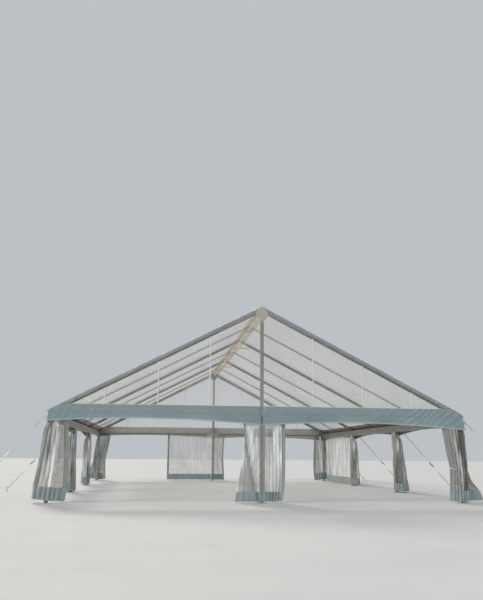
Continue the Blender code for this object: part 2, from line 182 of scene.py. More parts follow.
class Graph:
    """Adds nodes to a tree and links them as they are added."""

    def __init__(self, tree):
        self.tree = tree

    def node(self, kind, inputs=None, **settings):
        node = self.tree.nodes.new(kind)
        for key, value in settings.items():
            setattr(node, key, value)
        for key, value in (inputs or {}).items():
            self.feed(node.inputs[key], value)
        return node

    def add(self, kind, inputs=None, out=0, **settings):
        """Adds a node and hands back one of its outputs."""
        return Wire(self, self.node(kind, inputs, **settings).outputs[out])

    def feed(self, socket, value):
        if isinstance(value, Wire):
            self.tree.links.new(value.socket, socket)
        else:
            socket.default_value = value

    def math(self, operation, first, second=0.0):
        return self.add("ShaderNodeMath", {0: first, 1: second}, operation=operation)

    def parts(self, vector):
        """The x, y and z of a vector."""
        return [Wire(self, part) for part in self.node("ShaderNodeSeparateXYZ", {0: vector}).outputs]

    def joined(self, x, y, z=0.0):
        return self.add("ShaderNodeCombineXYZ", {0: x, 1: y, 2: z})


class Finish(Graph):
    """A material's graph, with its Principled shader and its coordinates."""

    def __init__(self, name, coords="Object"):
        self.material = bpy.data.materials.new(name)
        self.material.use_nodes = True
        super().__init__(self.material.node_tree)
        self.shader = self.tree.nodes["Principled BSDF"]
        self.coords = self.add("ShaderNodeTexCoord", out=coords)

    def scaled(self, scale, turn=(0.0, 0.0, 0.0)):
        return self.add("ShaderNodeMapping", {"Vector": self.coords, "Scale": scale, "Rotation": turn})

    def noise(self, vector, scale=1.0, detail=3.0, roughness=0.55, warp=0.0):
        return self.add("ShaderNodeTexNoise", {
            "Vector": vector, "Scale": scale, "Detail": detail, "Roughness": roughness, "Distortion": warp})

    def ramp(self, value, *stops):
        """Greys along a value; each stop is (place, grey)."""
        node = self.node("ShaderNodeValToRGB", {0: value})
        marks = node.color_ramp.elements
        while len(marks) < len(stops):
            marks.new(0.5)
        for mark, (place, grey) in zip(marks, stops):
            mark.position = place
            mark.color = (grey, grey, grey, 1)
        return Wire(self, node.outputs[0])

    def span(self, value, low, high, out_low, out_high):
        """Carries the stretch from low to high over to another stretch."""
        return self.add("ShaderNodeMapRange", {0: value, 1: low, 2: high, 3: out_low, 4: out_high})

    def blend(self, share, first, second):
        inputs = {0: share, 6: opaque(first), 7: opaque(second)}
        return self.add("ShaderNodeMix", inputs, out=2, data_type="RGBA")

    def bump(self, height, distance, strength, under=None):
        inputs = {"Height": height, "Distance": distance, "Strength": strength}
        if under is not None:
            inputs["Normal"] = under
        return self.add("ShaderNodeBump", inputs)

    def facing(self, blend):
        """High where a surface is seen along its face."""
        return self.add("ShaderNodeLayerWeight", {"Blend": blend}, out="Facing")

    def set(self, **values):
        """Feeds the shader's inputs, with _ for each space in a name."""
        for key, value in values.items():
            self.feed(self.shader.inputs[key.replace("_", " ")], opaque(value))
        return self.material


def opaque(tone):
    """A colour with its alpha; a wire or a number stays as it is."""
    return (*tone, 1) if isinstance(tone, tuple) else tone


def tint(tone, share):
    return tuple(min(1.0, c * share) for c in tone)


# Finishes


def aluminium(name, along, tone, crown=None):
    """Extruded aluminium, dulled by handling, drawn along one axis; crown is a painted glow, its tone under
    the ridge where light comes through the ridge band.
    """
    f = Finish(name)
    lines = f.noise(f.scaled([2.0 if axis == along else 230.0 for axis in "XYZ"]), detail=2.0)
    scuffs = f.noise(f.scaled([9.0 if axis == along else 40.0 for axis in "XYZ"]), detail=5.0, roughness=0.7)
    clouds = f.noise(f.coords, scale=2.3, detail=4.0)
    colour = f.blend(f.ramp(clouds, (0.35, 0.0), (0.7, 1.0)), tone, tint(tone, 1.35))
    # Painted glow: near the ridge the tone turns to crown
    if crown is not None:
        colour = f.blend(f.span(abs(f.parts(f.coords)[0]), 0.18, 0.36, 1.0, 0.0), colour, crown)
    colour = f.blend(f.ramp(scuffs, (0.55, 0.0), (0.72, 0.8)), colour, tint(tone, 0.62))
    return f.set(
        Base_Color=colour,
        Roughness=f.span(scuffs, 0.3, 0.75, 0.34, 0.55) + f.span(lines, 0.3, 0.7, -0.05, 0.05),
        Metallic=0.6,
        Normal=f.bump(lines, 0.0006, 0.5, f.bump(clouds, 0.002, 0.3)),
    )


def coated_fabric(name, tone, dirt=0.08, see=1.0, upper=None):
    """Coated vinyl with a faint weave, soft soiling and painted shade along its creases; upper is its tone
    over the eave.
    """
    f = Finish(name)
    threads = f.parts(f.scaled((420.0, 420.0, 420.0)))
    weave = f.math("SINE", threads[0]) * f.math("SINE", threads[2])
    clouds = f.noise(f.coords, scale=1.1, detail=5.0, roughness=0.6)
    streaks = f.noise(f.scaled((9.0, 9.0, 0.9)))
    crease = f.noise(f.scaled((2.2, 2.2, 5.0), (0.4, 0.5, 0.2)), detail=4.0, roughness=0.65, warp=0.6)
    ridges = abs(crease - 0.5)
    low = tint(tone, 1 - 2.2 * dirt)
    colour = f.blend(f.ramp(clouds, (0.3, 0.0), (0.72, 1.0)), low, tint(tone, 1 + dirt))
    if upper is not None:
        height = f.parts(f.coords)[2]
        colour = f.blend(f.span(height, EAVE - 0.08, EAVE + 0.16, 0.0, 1.0), colour, upper)
    colour = f.blend(f.ramp(streaks, (0.55, 0.0), (0.8, 0.45)), colour, low)
    # Painted shade: darker along the crease lines
    colour = f.blend(f.ramp(ridges, (0.0, 0.35), (0.03, 0.0)), colour, tint(tone, 0.8))
    return f.set(
        Base_Color=colour,
        Roughness=f.span(clouds, 0.3, 0.7, 0.38, 0.52),
        Normal=f.bump(weave, 0.0002, 0.35, f.bump(ridges, 0.02, 0.35)),
        Alpha=see,
        Coat_Weight=0.12,
        Coat_Roughness=0.3,
    )


def clear_film(name, haze, grain, tone, streak):
    """Clear flexible vinyl pulled flat: a milky cast with long soft streaks, a few creases and a painted
    sheen where it is seen along its face.
    """
    f = Finish(name)
    clouds = f.noise(f.coords, scale=0.45, roughness=0.5)
    drawn = f.noise(f.scaled(grain), detail=2.0, roughness=0.5, warp=0.4)
    creases = f.ramp(abs(drawn - 0.5), (0.0, 1.0), (0.02, 0.3), (0.05, 0.0))
    cast = f.span(clouds, 0.3, 0.7, haze * 0.7, haze * 1.3) + creases * streak
    # Painted sheen: more opaque, so whiter, where the film is seen along its face
    cast = cast + f.span(drawn, 0.35, 0.7, 0.0, 0.05) + f.facing(0.4) * 0.25
    return f.set(
        Base_Color=f.blend(creases * 0.4, tone, (0.96, 0.96, 0.94)),
        Roughness=f.span(clouds, 0.3, 0.7, 0.10, 0.24),
        Alpha=f.math("MINIMUM", cast, 0.96),
        Normal=f.bump(drawn, 0.006, 0.3, f.bump(clouds, 0.05, 0.3)),
        IOR=1.52,
    )


def gathered_film(name, haze, across, hollow):
    """Clear vinyl in folds: white streaks of painted highlight down its own map, creases where it was packed,
    whiter where told; hollow is the painted shade between the streaks.
    """
    f = Finish(name, "UV")
    pale = f.add("ShaderNodeAttribute", out="Fac", attribute_name="pale")
    streaks = f.noise(f.scaled((across, 0.42, 1.0)), detail=2.0, roughness=0.6, warp=0.3)
    fine = f.noise(f.scaled((across * 6, 1.3, 1.0)), detail=2.0)
    clouds = f.noise(f.scaled((1.1, 0.9, 1.0)))
    wobble = f.noise(f.scaled((11.0, 3.0, 1.0)), detail=2.0)
    packs = f.parts(f.coords)[1] * (1 / 0.58) + wobble * 0.16
    packed = f.ramp(abs(f.math("FRACT", packs) - 0.5), (0.465, 0.0), (0.485, 0.8), (0.5, 0.2))
    # Painted highlight: white streaks where light would catch the folds, stronger where the pale attribute is
    # high
    white = f.ramp(streaks + f.span(pale, 0.0, 1.0, -0.20, 0.20), (0.40, 0.0), (0.52, 0.4), (0.64, 1.0))
    cast = white * 0.42 + haze
    cast = cast + f.span(fine, 0.3, 0.7, -0.06, 0.06) + f.span(clouds, 0.3, 0.7, -0.20, 0.14)
    # Packing creases, and a painted sheen: more opaque, so whiter, on fold flanks seen along their face
    cast = cast + packed * 0.20 + f.facing(0.45) * 0.30
    colour = f.blend(white, hollow, (0.98, 0.98, 0.96))
    return f.set(
        Base_Color=f.blend(f.ramp(clouds, (0.55, 0.0), (0.75, 0.5)), colour, (0.62, 0.57, 0.50)),
        Roughness=f.span(fine, 0.3, 0.7, 0.14, 0.30),
        Alpha=f.math("MAXIMUM", f.math("MINIMUM", cast, 0.97), 0.14),
        Normal=f.bump(streaks * 0.7 + fine * 0.3, 0.02, 0.6, f.bump(packed, 0.006, 0.6)),
        IOR=1.52,
    )


def webbing(name, tone):
    """Woven strap: ribs across, a chevron of darker threads and soiled edges, by its own map."""
    f = Finish(name, "UV")
    across, along, _ = f.parts(f.coords)
    rib = f.math("SINE", along * 2600.0)
    chevron = f.math("SINE", along * 900.0 + abs(across - 0.025) * 1800.0)
    soil = f.noise(f.scaled((30.0, 4.0, 1.0)), detail=4.0)
    colour = f.blend(f.ramp(soil, (0.4, 0.0), (0.7, 0.6)), tone, tint(tone, 0.62))
    colour = f.blend(f.span(chevron, -1.0, 1.0, 0.0, 0.25), colour, tint(tone, 0.7))
    relief = f.bump(rib * 0.6 + chevron * 0.4, 0.0006, 0.7)
    return f.set(Base_Color=colour, Roughness=0.8, Normal=relief, Sheen_Weight=0.3)


def plated_steel(name, tone, roughness=0.42):
    """Zinc-plated steel with spangles, grime in patches and a few rust freckles."""
    f = Finish(name)
    spangle = f.add("ShaderNodeTexVoronoi", {"Vector": f.coords, "Scale": 90.0}, out="Color")
    flat = f.add("ShaderNodeRGBToBW", {0: spangle})
    grime = f.noise(f.coords, scale=14.0, detail=5.0, roughness=0.65)
    freckle = f.noise(f.coords, scale=75.0, detail=2.0)
    colour = f.blend(f.span(flat, 0.2, 0.8, 0.0, 1.0), tone, tint(tone, 1.3))
    colour = f.blend(f.ramp(grime, (0.52, 0.0), (0.7, 0.7)), colour, (0.10, 0.095, 0.085))
    colour = f.blend(f.ramp(freckle, (0.68, 0.0), (0.74, 0.7)), colour, (0.22, 0.10, 0.05))
    wear = f.span(grime, 0.3, 0.7, roughness - 0.08, roughness + 0.16)
    return f.set(Base_Color=colour, Roughness=wear, Metallic=0.9, Normal=f.bump(grime, 0.001, 0.3))


UPRIGHT = aluminium("aluminium uprights", "Z", (0.31, 0.31, 0.285))
LENGTHWISE = aluminium("aluminium purlins", "Y", (0.24, 0.235, 0.21))
# The beige crown tones of the rafters and the ridge bar's whole beige tone are painted glow of light through
# the ridge band
CROSSWISE = aluminium("aluminium rafters", "X", (0.19, 0.175, 0.15), (0.55, 0.45, 0.34))
LIGHT_BAR = aluminium("aluminium light rafters", "X", (0.34, 0.32, 0.285), (0.60, 0.50, 0.39))
RIDGE_BAR = aluminium("aluminium ridge", "Y", (0.86, 0.75, 0.62))
# Painted shade: the white vinyl's outer faces are toned the cool blue-grey they take in shade, the border a
# greyer shade over the eave
BORDER = coated_fabric("white border vinyl", (0.283, 0.385, 0.405), upper=(0.295, 0.352, 0.357))
RAKE = coated_fabric("white rake vinyl", (0.345, 0.37, 0.365))
ROOF_BORDER = coated_fabric("white roof vinyl", (0.48, 0.53, 0.54), 0.05)
# Painted light on the white vinyl's inner faces: the eave border's a dim brown shade, the gable border's a
# grey shade, the ridge band's a bright beige glow of light through it
INNER = coated_fabric("border vinyl inner face", (0.27, 0.225, 0.175), 0.08)
GABLE_INNER = coated_fabric("gable border inner face", (0.47, 0.47, 0.43), 0.08)
RIDGE_INNER = coated_fabric("ridge vinyl inner face", (0.88, 0.78, 0.66), 0.04)
# Painted shadow: a near-black strip under each rake border stands in for the shaded rafter edge and gap
# behind it
RAKE_SHADOW = coated_fabric("painted rake shadow line", (0.045, 0.045, 0.042), 0.1)
# Painted glow: the rake border's inner face is toned pale beige
RAKE_INNER = coated_fabric("rake border inner face", (0.80, 0.77, 0.72), 0.05)
# Painted shade: the white vinyl gusset is toned the taupe it shows in shade
GUSSET = coated_fabric("crown gusset vinyl", (0.53, 0.48, 0.42), 0.05)
# Painted shade: the curtains' white vinyl hems and edge strips are toned the blue-grey they show in shade
HEM = coated_fabric("curtain hem vinyl", (0.355, 0.42, 0.43), 0.12)
STRIP = coated_fabric("curtain strip vinyl", (0.36, 0.385, 0.35), 0.12)
WELD = coated_fabric("weld tape", (0.90, 0.90, 0.88), 0.03, 0.85)
# Painted light: the back gable's welds get a lighter, warmer and more see-through copy of the weld tape, so
# they read as backlit cream lines
FAR_WELD = coated_fabric("weld tape of the back gable", (0.92, 0.90, 0.84), 0.03, 0.5)
ROOF_FILM = clear_film("clear roof vinyl", 0.22, (0.5, 1.2, 0.5), (0.94, 0.90, 0.84), 0.05)
GABLE_FILM = clear_film("clear gable vinyl", 0.14, (0.7, 1.0, 0.3), (0.92, 0.89, 0.85), 0.05)
# Painted shade: the hollow tones between the white streaks are darker on the corner curtains and leg drapes,
# darkest on the flapped curtains that hang in shade
CURTAIN_FILM = gathered_film("clear curtain vinyl", 0.55, 2.6, (0.46, 0.46, 0.42))
CORNER_FILM = gathered_film("clear corner curtain vinyl", 0.60, 2.8, (0.23, 0.23, 0.20))
SHADED_FILM = gathered_film("clear flapped curtain vinyl", 0.72, 2.8, (0.16, 0.155, 0.13))
WALL_FILM = gathered_film("clear sidewall vinyl", 0.36, 2.4, (0.48, 0.47, 0.43))
STRAP = webbing("pale strap webbing", (0.92, 0.86, 0.77))
LACE = coated_fabric("lacing cord", (0.13, 0.13, 0.12), 0.1)
STEEL = plated_steel("zinc plated steel", (0.42, 0.42, 0.41))
DARK_STEEL = plated_steel("stake steel", (0.22, 0.21, 0.20), 0.5)


# Meshes


# The angle from which an edge is drawn sharp
SHARP = math.radians(30)


def link(name, mesh, *finishes):
    for finish in finishes:
        mesh.materials.append(finish)
    item = bpy.data.objects.new(name, mesh)
    bpy.context.scene.collection.objects.link(item)
    return item


def shell(name, points, faces, finishes, cloth=None, picks=None, thickness=0.0):
    """A piece from points and faces; cloth is its flat map in metres, picks the finish of each face."""
    mesh = bpy.data.meshes.new(name)
    mesh.from_pydata(np.asarray(points, float).reshape(-1, 3).tolist(), [], faces.tolist())
    item = link(name, mesh, *finishes)
    if cloth is not None:
        layer = mesh.uv_layers.new(name="cloth")
        corner = np.empty(len(mesh.loops), np.int32)
        mesh.loops.foreach_get("vertex_index", corner)
        layer.data.foreach_set("uv", np.asarray(cloth, np.float32).reshape(-1, 2)[corner].ravel())
    if picks is not None:
        mesh.polygons.foreach_set("material_index", np.asarray(picks, np.int32))
    mesh.shade_smooth()
    mesh.update()
    if thickness:
        thicken(item, thickness, len(finishes) - 1)
    return item


def thicken(item, thickness, lining):
    """Gives a sheet its thickness, evenly to both sides; lining picks the inner face's finish."""
    wall = item.modifiers.new("wall", "SOLIDIFY")
    wall.thickness = thickness
    wall.offset = 0.0
    wall.material_offset = lining
    settle(item)


def settle(item):
    """Turns an object's modifiers into plain mesh."""
    graph = bpy.context.evaluated_depsgraph_get()
    graph.update()
    mesh = bpy.data.meshes.new_from_object(item.evaluated_get(graph))
    item.modifiers.clear()
    old, item.data = item.data, mesh
    bpy.data.meshes.remove(old)
    return item


def grid_faces(rows, columns):
    """Squares between rows of points, columns in each."""
    corner = (np.arange(rows - 1)[:, None] * columns + np.arange(columns - 1)[None, :]).ravel()
    return np.stack([corner, corner + 1, corner + columns + 1, corner + columns], axis=1)


def solid(name, parts, finish):
    """One piece from several bmesh makers, each called with the bmesh it adds to."""
    work = bmesh.new()
    for part in parts:
        part(work)
    bmesh.ops.recalc_face_normals(work, faces=work.faces)
    mesh = bpy.data.meshes.new(name)
    work.to_mesh(mesh)
    work.free()
    mesh.shade_smooth()
    mesh.set_sharp_from_angle(angle=SHARP)
    return link(name, mesh, finish)


def profile(corners, radius, groove=None):
    """A section with rounded corners, and a keder groove (width, depth) in each long side."""
    outline = []
    count = len(corners)
    for i in range(count):
        before, here, after = (Vector(corners[(i + k) % count]) for k in (-1, 0, 1))
        into, out = (here - before).normalized(), (after - here).normalized()
        start, end = here - into * radius, here + out * radius
        outline += [start, start.lerp(here, 0.6).lerp(here.lerp(end, 0.4), 0.5), end]
        if groove and (after - here).length > 4 * groove[0]:
            middle = here.lerp(after, 0.5)
            half, deep = out * groove[0] / 2, Vector((-out.y, out.x)) * groove[1]
            outline += [middle - half, middle - half + deep, middle + half + deep, middle + half]
    return outline


def rectangle(width, depth):
    x, y = width / 2, depth / 2
    return [(-x, -y), (x, -y), (x, y), (-x, y)]


def prism(work, loops):
    """Adds a solid between two loops of points that match."""
    low, high = [[work.verts.new(spot) for spot in loop] for loop in loops]
    for i in range(len(low)):
        j = (i + 1) % len(low)
        work.faces.new((low[i], low[j], high[j], high[i]))
    work.faces.new(low[::-1])
    work.faces.new(high)


def bar(section, start, end, wide, deep, cut=None):
    """Maker of a bar with a section from start to end; cut is the normal of both end faces."""
    a, b, w, d = (Vector(given) for given in (start, end, wide, deep))
    axis = (b - a).normalized()
    normal = Vector(cut) if cut else axis

    def spot(place, x, y):
        square = place + w * x + d * y
        return square - axis * ((square - place).dot(normal) / axis.dot(normal))

    return lambda work: prism(work, [[spot(place, x, y) for x, y in section] for place in (a, b)])


def slab(low, high, radius=0.002):
    """Maker of a box with rounded upright edges."""
    low, high = Vector(low), Vector(high)
    centre, size = (low + high) / 2, high - low
    section = profile(rectangle(size.x, size.y), min(radius, size.x / 3, size.y / 3))
    return bar(section, (centre.x, centre.y, low.z), (centre.x, centre.y, high.z), ACROSS, ALONG)


def ring_path(centre, radius, first, second, steps):
    """Points of a circle in the plane of two unit vectors."""
    turns = (2 * math.pi * k / steps for k in range(steps))
    first, second = Vector(first), Vector(second)
    return [Vector(centre) + (first * math.cos(t) + second * math.sin(t)) * radius for t in turns]


def turned(outline, start, axis, sides=20):
    """Maker of a round solid; outline is (distance along the axis, radius) from end to end."""
    def make(work):
        a = Vector(axis).normalized()
        u = a.orthogonal().normalized()
        v = a.cross(u)
        rings = []
        for along, radius in outline:
            middle = Vector(start) + a * along
            ring = ring_path(middle, radius, u, v, sides) if radius else [middle]
            rings.append([work.verts.new(spot) for spot in ring])
        for one, two in zip(rings, rings[1:]):
            for k in range(sides):
                n = (k + 1) % sides
                corners = (one[k % len(one)], one[n % len(one)], two[n % len(two)], two[k % len(two)])
                work.faces.new(list(dict.fromkeys(corners)))
        for ring in (rings[0], rings[-1]):
            if len(ring) > 1:
                work.faces.new(ring)
    return make


def tube(path, radius, closed=False, sides=8):
    """Maker of a round tube along points."""
    def make(work):
        points = [Vector(p) for p in path]
        count = len(points)
        rings, side = [], None
        for i, here in enumerate(points):
            before = points[(i - 1) % count] if closed or i else here
            after = points[(i + 1) % count] if closed or i < count - 1 else here
            axis = (after - before).normalized()
            side = axis.orthogonal() if side is None else side - axis * side.dot(axis)
            side = side.normalized()
            ring = ring_path(here, radius, side, axis.cross(side), sides)
            rings.append([work.verts.new(spot) for spot in ring])
        pairs = list(zip(rings, rings[1:])) + ([(rings[-1], rings[0])] if closed else [])
        for one, two in pairs:
            for k in range(sides):
                n = (k + 1) % sides
                work.faces.new((one[k], one[n], two[n], two[k]))
        if not closed:
            work.faces.new(rings[0])
            work.faces.new(rings[-1])
    return make


# Grown pieces: trees that repeat a shape or follow a rule


def tree(name, *sizes, shape_in=True):
    """A new geometry tree with named number inputs, as (graph, inputs by name, finisher)."""
    group = bpy.data.node_groups.new(name, "GeometryNodeTree")
    if shape_in:
        group.interface.new_socket("Shape", in_out="INPUT", socket_type="NodeSocketGeometry")
    for label in sizes:
        kind = "Int" if label in ("Rows", "Columns") else "Float"
        group.interface.new_socket(label, in_out="INPUT", socket_type=f"NodeSocket{kind}")
    group.interface.new_socket("Finish", in_out="INPUT", socket_type="NodeSocketMaterial")
    group.interface.new_socket("Shape", in_out="OUTPUT", socket_type="NodeSocketGeometry")
    graph = Graph(group)
    given = {socket.name: Wire(graph, socket) for socket in graph.node("NodeGroupInput").outputs}

    def close(shape):
        whole = graph.add("GeometryNodeRealizeInstances", {0: shape})
        whole = graph.add("GeometryNodeSetMaterial", {"Geometry": whole, "Material": given["Finish"]})
        graph.node("NodeGroupOutput", {0: whole})
        return group

    return graph, given, close


def grow(name, group, finish, base=None, axes=None, **sizes):
    """A plain mesh piece grown by a tree, from a base of points or none."""
    mesh = bpy.data.meshes.new(name)
    if base is not None:
        points, edges = base
        mesh.from_pydata([tuple(p) for p in points], edges, [])
    if axes is not None:
        layer = mesh.attributes.new("axis", "FLOAT_VECTOR", "POINT")
        layer.data.foreach_set("vector", np.asarray(axes, np.float32).ravel())
    item = link(name, mesh)
    step = item.modifiers.new("growth", "NODES")
    step.node_group = group
    values = {**sizes, "Finish": finish}
    for socket in group.interface.items_tree:
        if socket.item_type == "SOCKET" and socket.in_out == "INPUT" and socket.name in values:
            step[socket.identifier] = values[socket.name]
    return settle(item)


def cylinder(graph, sides, radius, depth):
    inputs = {"Vertices": sides, "Radius": radius, "Depth": depth}
    return graph.add("GeometryNodeMeshCylinder", inputs, out="Mesh")


def at_points(graph, points, shape, axis):
    """The shape at each point, with its z along the axis."""
    turn = graph.add("FunctionNodeAlignRotationToVector", {"Vector": axis}, axis="Z")
    inputs = {"Points": points, "Instance": shape, "Rotation": turn}
    return graph.add("GeometryNodeInstanceOnPoints", inputs)


def at_vertices(graph, given, shape):
    """The shape at each vertex of the base, along the base's axis attribute."""
    axis = graph.add("GeometryNodeInputNamedAttribute", {"Name": "axis"}, data_type="FLOAT_VECTOR")
    points = graph.add("GeometryNodeMeshToPoints", {0: given["Shape"]})
    return at_points(graph, points, shape, axis)


def bolt_tree():
    """A hexagonal head on a washer at each point, facing along the point's axis."""
    graph, given, close = tree("bolts", "Head", "Height")
    both = graph.node("GeometryNodeJoinGeometry")
    for sides, wider, taller in ((6, 1.0, 1.0), (12, 0.55, 2.0), (20, 1.5, 0.4)):
        part = cylinder(graph, sides, given["Head"] * wider, given["Height"] * taller)
        graph.feed(both.inputs[0], part)
    return close(at_vertices(graph, given, Wire(graph, both.outputs[0])))


def stitch_tree():
    """Short rounded stitches along a line, one every Spacing."""
    graph, given, close = tree("stitches", "Spacing", "Long", "Thick")
    line = graph.add("GeometryNodeMeshToCurve", {0: given["Shape"]})
    inputs = {"Curve": line, "Length": given["Spacing"]}
    spots = graph.node("GeometryNodeCurveToPoints", inputs, mode="LENGTH").outputs
    points, way = (Wire(graph, spots[label]) for label in ("Points", "Tangent"))
    return close(at_points(graph, points, cylinder(graph, 6, given["Thick"], given["Long"]), way))


def eyelet_tree():
    """A rolled ring at each point, facing along the point's axis."""
    graph, given, close = tree("eyelets", "Radius", "Roll")
    path, section = (
        graph.add("GeometryNodeCurvePrimitiveCircle", {"Resolution": sides, "Radius": given[label]})
        for sides, label in ((16, "Radius"), (7, "Roll"))
    )
    ring = graph.add("GeometryNodeCurveToMesh", {"Curve": path, "Profile Curve": section})
    return close(at_vertices(graph, given, ring))


def roof_tree():
    """A sheet on one slope of the roof that sags between its supports.

    From and To are distances down the slope from the ridge, Start and End places along the
    tent; the sheet lies Lift over the cover's line, and Side is -1 on the left.
    """
    graph, given, close = tree(
        "roof sheet", "From", "To", "Start", "End", "Rows", "Columns", "Lift", "Sag", "Ripple", "Side",
        "Seed", shape_in=False,
    )
    wide = given["To"] - given["From"]
    long = given["End"] - given["Start"]
    net = graph.add("GeometryNodeMeshGrid", {
        "Size X": wide, "Size Y": long, "Vertices X": given["Columns"], "Vertices Y": given["Rows"],
    }, out="Mesh")
    place = graph.parts(graph.add("GeometryNodeInputPosition"))
    down = place[0] + wide * 0.5 + given["From"]
    along = place[1] + long * 0.5 + given["Start"]
    beat = abs(graph.math("SINE", along * (math.pi / (BAY / 2))))
    drop = abs(graph.math("SINE", down * (math.pi / ROOF_REACH)))
    spot = graph.joined(down * 1.2, along, given["Seed"])
    noise = graph.add("ShaderNodeTexNoise", {"Vector": spot, "Scale": 1.3, "Detail": 1.0})
    ripple = (noise - 0.5) * given["Ripple"] * (beat + 0.15)
    climb = graph.add("ShaderNodeMapRange", {
        0: abs(along), 1: SLEEVE_CLIMB[0], 2: SLEEVE_CLIMB[1], 3: 0.0, 4: SLEEVE,
    }, interpolation_type="SMOOTHSTEP")
    lift = given["Lift"] - beat * drop * given["Sag"] + ripple + climb
    out = down * COS + lift * SIN
    up = lift * COS - down * SIN
    spot = graph.joined(out * given["Side"], along, up + RIDGE)
    kept = graph.add("GeometryNodeStoreNamedAttribute", {
        "Geometry": net, "Name": "cloth", "Value": graph.joined(down, along),
    }, data_type="FLOAT2", domain="CORNER")
    bent = graph.add("GeometryNodeSetPosition", {"Geometry": kept, "Position": spot})
    return close(graph.add("GeometryNodeSetShadeSmooth", {"Geometry": bent}))


BOLTS = bolt_tree()
STITCHES = stitch_tree()
EYELETS = eyelet_tree()
ROOF_SHEET = roof_tree()


def fit(item, slot, *nodes):
    """Rides a piece on the tent and hides the nodes that it stands for; slot is not used."""
    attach(item, "root")
    if nodes:
        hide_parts(*nodes)


# Frame


# Width and depth of the groove that takes a cover's bead
KEDER = (0.014, 0.008)
POST = profile(rectangle(LEG, LEG), 0.007, KEDER)

# Half width and corner radius of a foot plate and of its collar, then the pins beside the leg
FOOT_PLATE = (0.13, 0.012)
COLLAR = (0.064, 0.01)
COLLAR_TOP = 0.02
PIN_OFF = 0.094
PIN_FOOT = 0.008
PIN_HEAD = [(0, 0.014), (0.014, 0.014), (0.018, 0.024), (0.024, 0.023), (0.026, 0.012), (0.0262, 0)]

# Room between a king pole's head and the ridge purlin
POLE_ROOM = 0.006

# Plates on the rafters: thickness, free edge under and over them, half width at the crown, ends at the eave
PLATE_THICK = 0.006
PLATE_LOW = 0.02
PLATE_HIGH = 0.025
CROWN_PLATE = 0.30
EAVE_PLATE = (5.62, 5.94)
CROWN_BOLTS = (-0.24, -0.12, 0.12, 0.24)
EAVE_BOLTS = (5.70, 5.86)
BOLT_OUT = 0.0075


def upright(x, y, top):
    """Makers of a post on a foot plate with a welded collar and two driven pins."""
    parts = [bar(POST, (x, y, FOOT_THICK), (x, y, top), ACROSS, ALONG)]
    for (half, radius), low, high in ((FOOT_PLATE, 0, FOOT_THICK), (COLLAR, FOOT_THICK, COLLAR_TOP)):
        parts.append(slab((x - half, y - half, low), (x + half, y + half, high), radius))
    for way in (-1, 1):
        parts.append(turned(PIN_HEAD, (x, y + way * PIN_OFF, PIN_FOOT), UP))
    return parts


def legs():
    for side_name, side in SIDES.items():
        for number, y in enumerate(FRAMES, start=1):
            parts = upright(side * LEG_MIDDLE, y, PURLIN_FOOT - GAP)
            leg = solid(f"leg_post_{side_name}_{number}", parts, UPRIGHT)
            fit(leg, "aluminium", f"leg_{side_name}_{number}")


def rafters():
    section = profile(rectangle(RAFTER_WIDTH, RAFTER_DEPTH), 0.006, KEDER)
    for side_name, side in SIDES.items():
        for number, y in enumerate(FRAMES, start=1):
            ends = [(side * x, y, rafter_middle(x)) for x in (RIDGE_HALF + GAP, LEG_OUT)]
            beam = bar(section, *ends, ALONG, (side * SIN, 0, COS), ACROSS)
            rafter = solid(f"rafter_bar_{side_name}_{number}", [beam], CROSSWISE)
            fit(rafter, "aluminium", f"rafter_{side_name}_{number}")


def purlins():
    ends = (0, -PURLIN_END, 0), (0, PURLIN_END, 0)
    shoulder = rafter_top(RIDGE_HALF)
    crown = [(-RIDGE_HALF, RIDGE_PURLIN_FOOT), (RIDGE_HALF, RIDGE_PURLIN_FOOT), (RIDGE_HALF, shoulder),
             (0, rafter_top(0)), (-RIDGE_HALF, shoulder)]
    ridge = bar(profile(crown, 0.005, KEDER), *ends, ACROSS, UP)
    fit(solid("ridge_purlin_bar", [ridge], RIDGE_BAR), "aluminium", "ridge_purlin")
    for side_name, side in SIDES.items():
        outline = [(side * LEG_IN, PURLIN_FOOT), (side * LEG_OUT, PURLIN_FOOT),
                   (side * LEG_OUT, rafter_foot(LEG_OUT) - GAP), (side * LEG_IN, rafter_foot(LEG_IN) - GAP)]
        eave = bar(profile(outline[::side], 0.006, KEDER), *ends, ACROSS, UP)
        purlin = solid(f"eave_purlin_bar_{side_name}", [eave], LENGTHWISE)
        fit(purlin, "aluminium", f"eave_purlin_{side_name}")


def gable_frames():
    section = profile(rectangle(BEAM_WIDTH, BEAM_DEPTH), 0.004)
    height = frame_line(LEG_IN) - GAP - BEAM_DEPTH / 2
    for end_name, end in ENDS.items():
        y = end * (POLE_BACK - GAP - BEAM_WIDTH / 2)
        beam = bar(section, (-LEG_IN + GAP, y, height), (LEG_IN - GAP, y, height), ALONG, UP)
        fit(solid(f"gable_beam_bar_{end_name}", [beam], CROSSWISE), "aluminium", f"gable_beam_{end_name}")
        parts = upright(0, end * (POLE_FRONT - LEG / 2), RIDGE_PURLIN_FOOT - POLE_ROOM)
        fit(solid(f"gable_pole_{end_name}", parts, UPRIGHT), "aluminium", f"king_pole_{end_name}")


def rafter_plate(outline, radius, near, way):
    """Maker of a plate on a rafter's face, near being where the face is and way the way out."""
    return bar(profile(outline, radius), (0, near, 0), (0, near + way * PLATE_THICK, 0), ACROSS, UP)


def plate_edge(side, x):
    """The lower and upper corner of a plate on a rafter."""
    return (side * x, rafter_foot(x) + PLATE_LOW), (side * x, rafter_top(x) - PLATE_HIGH)


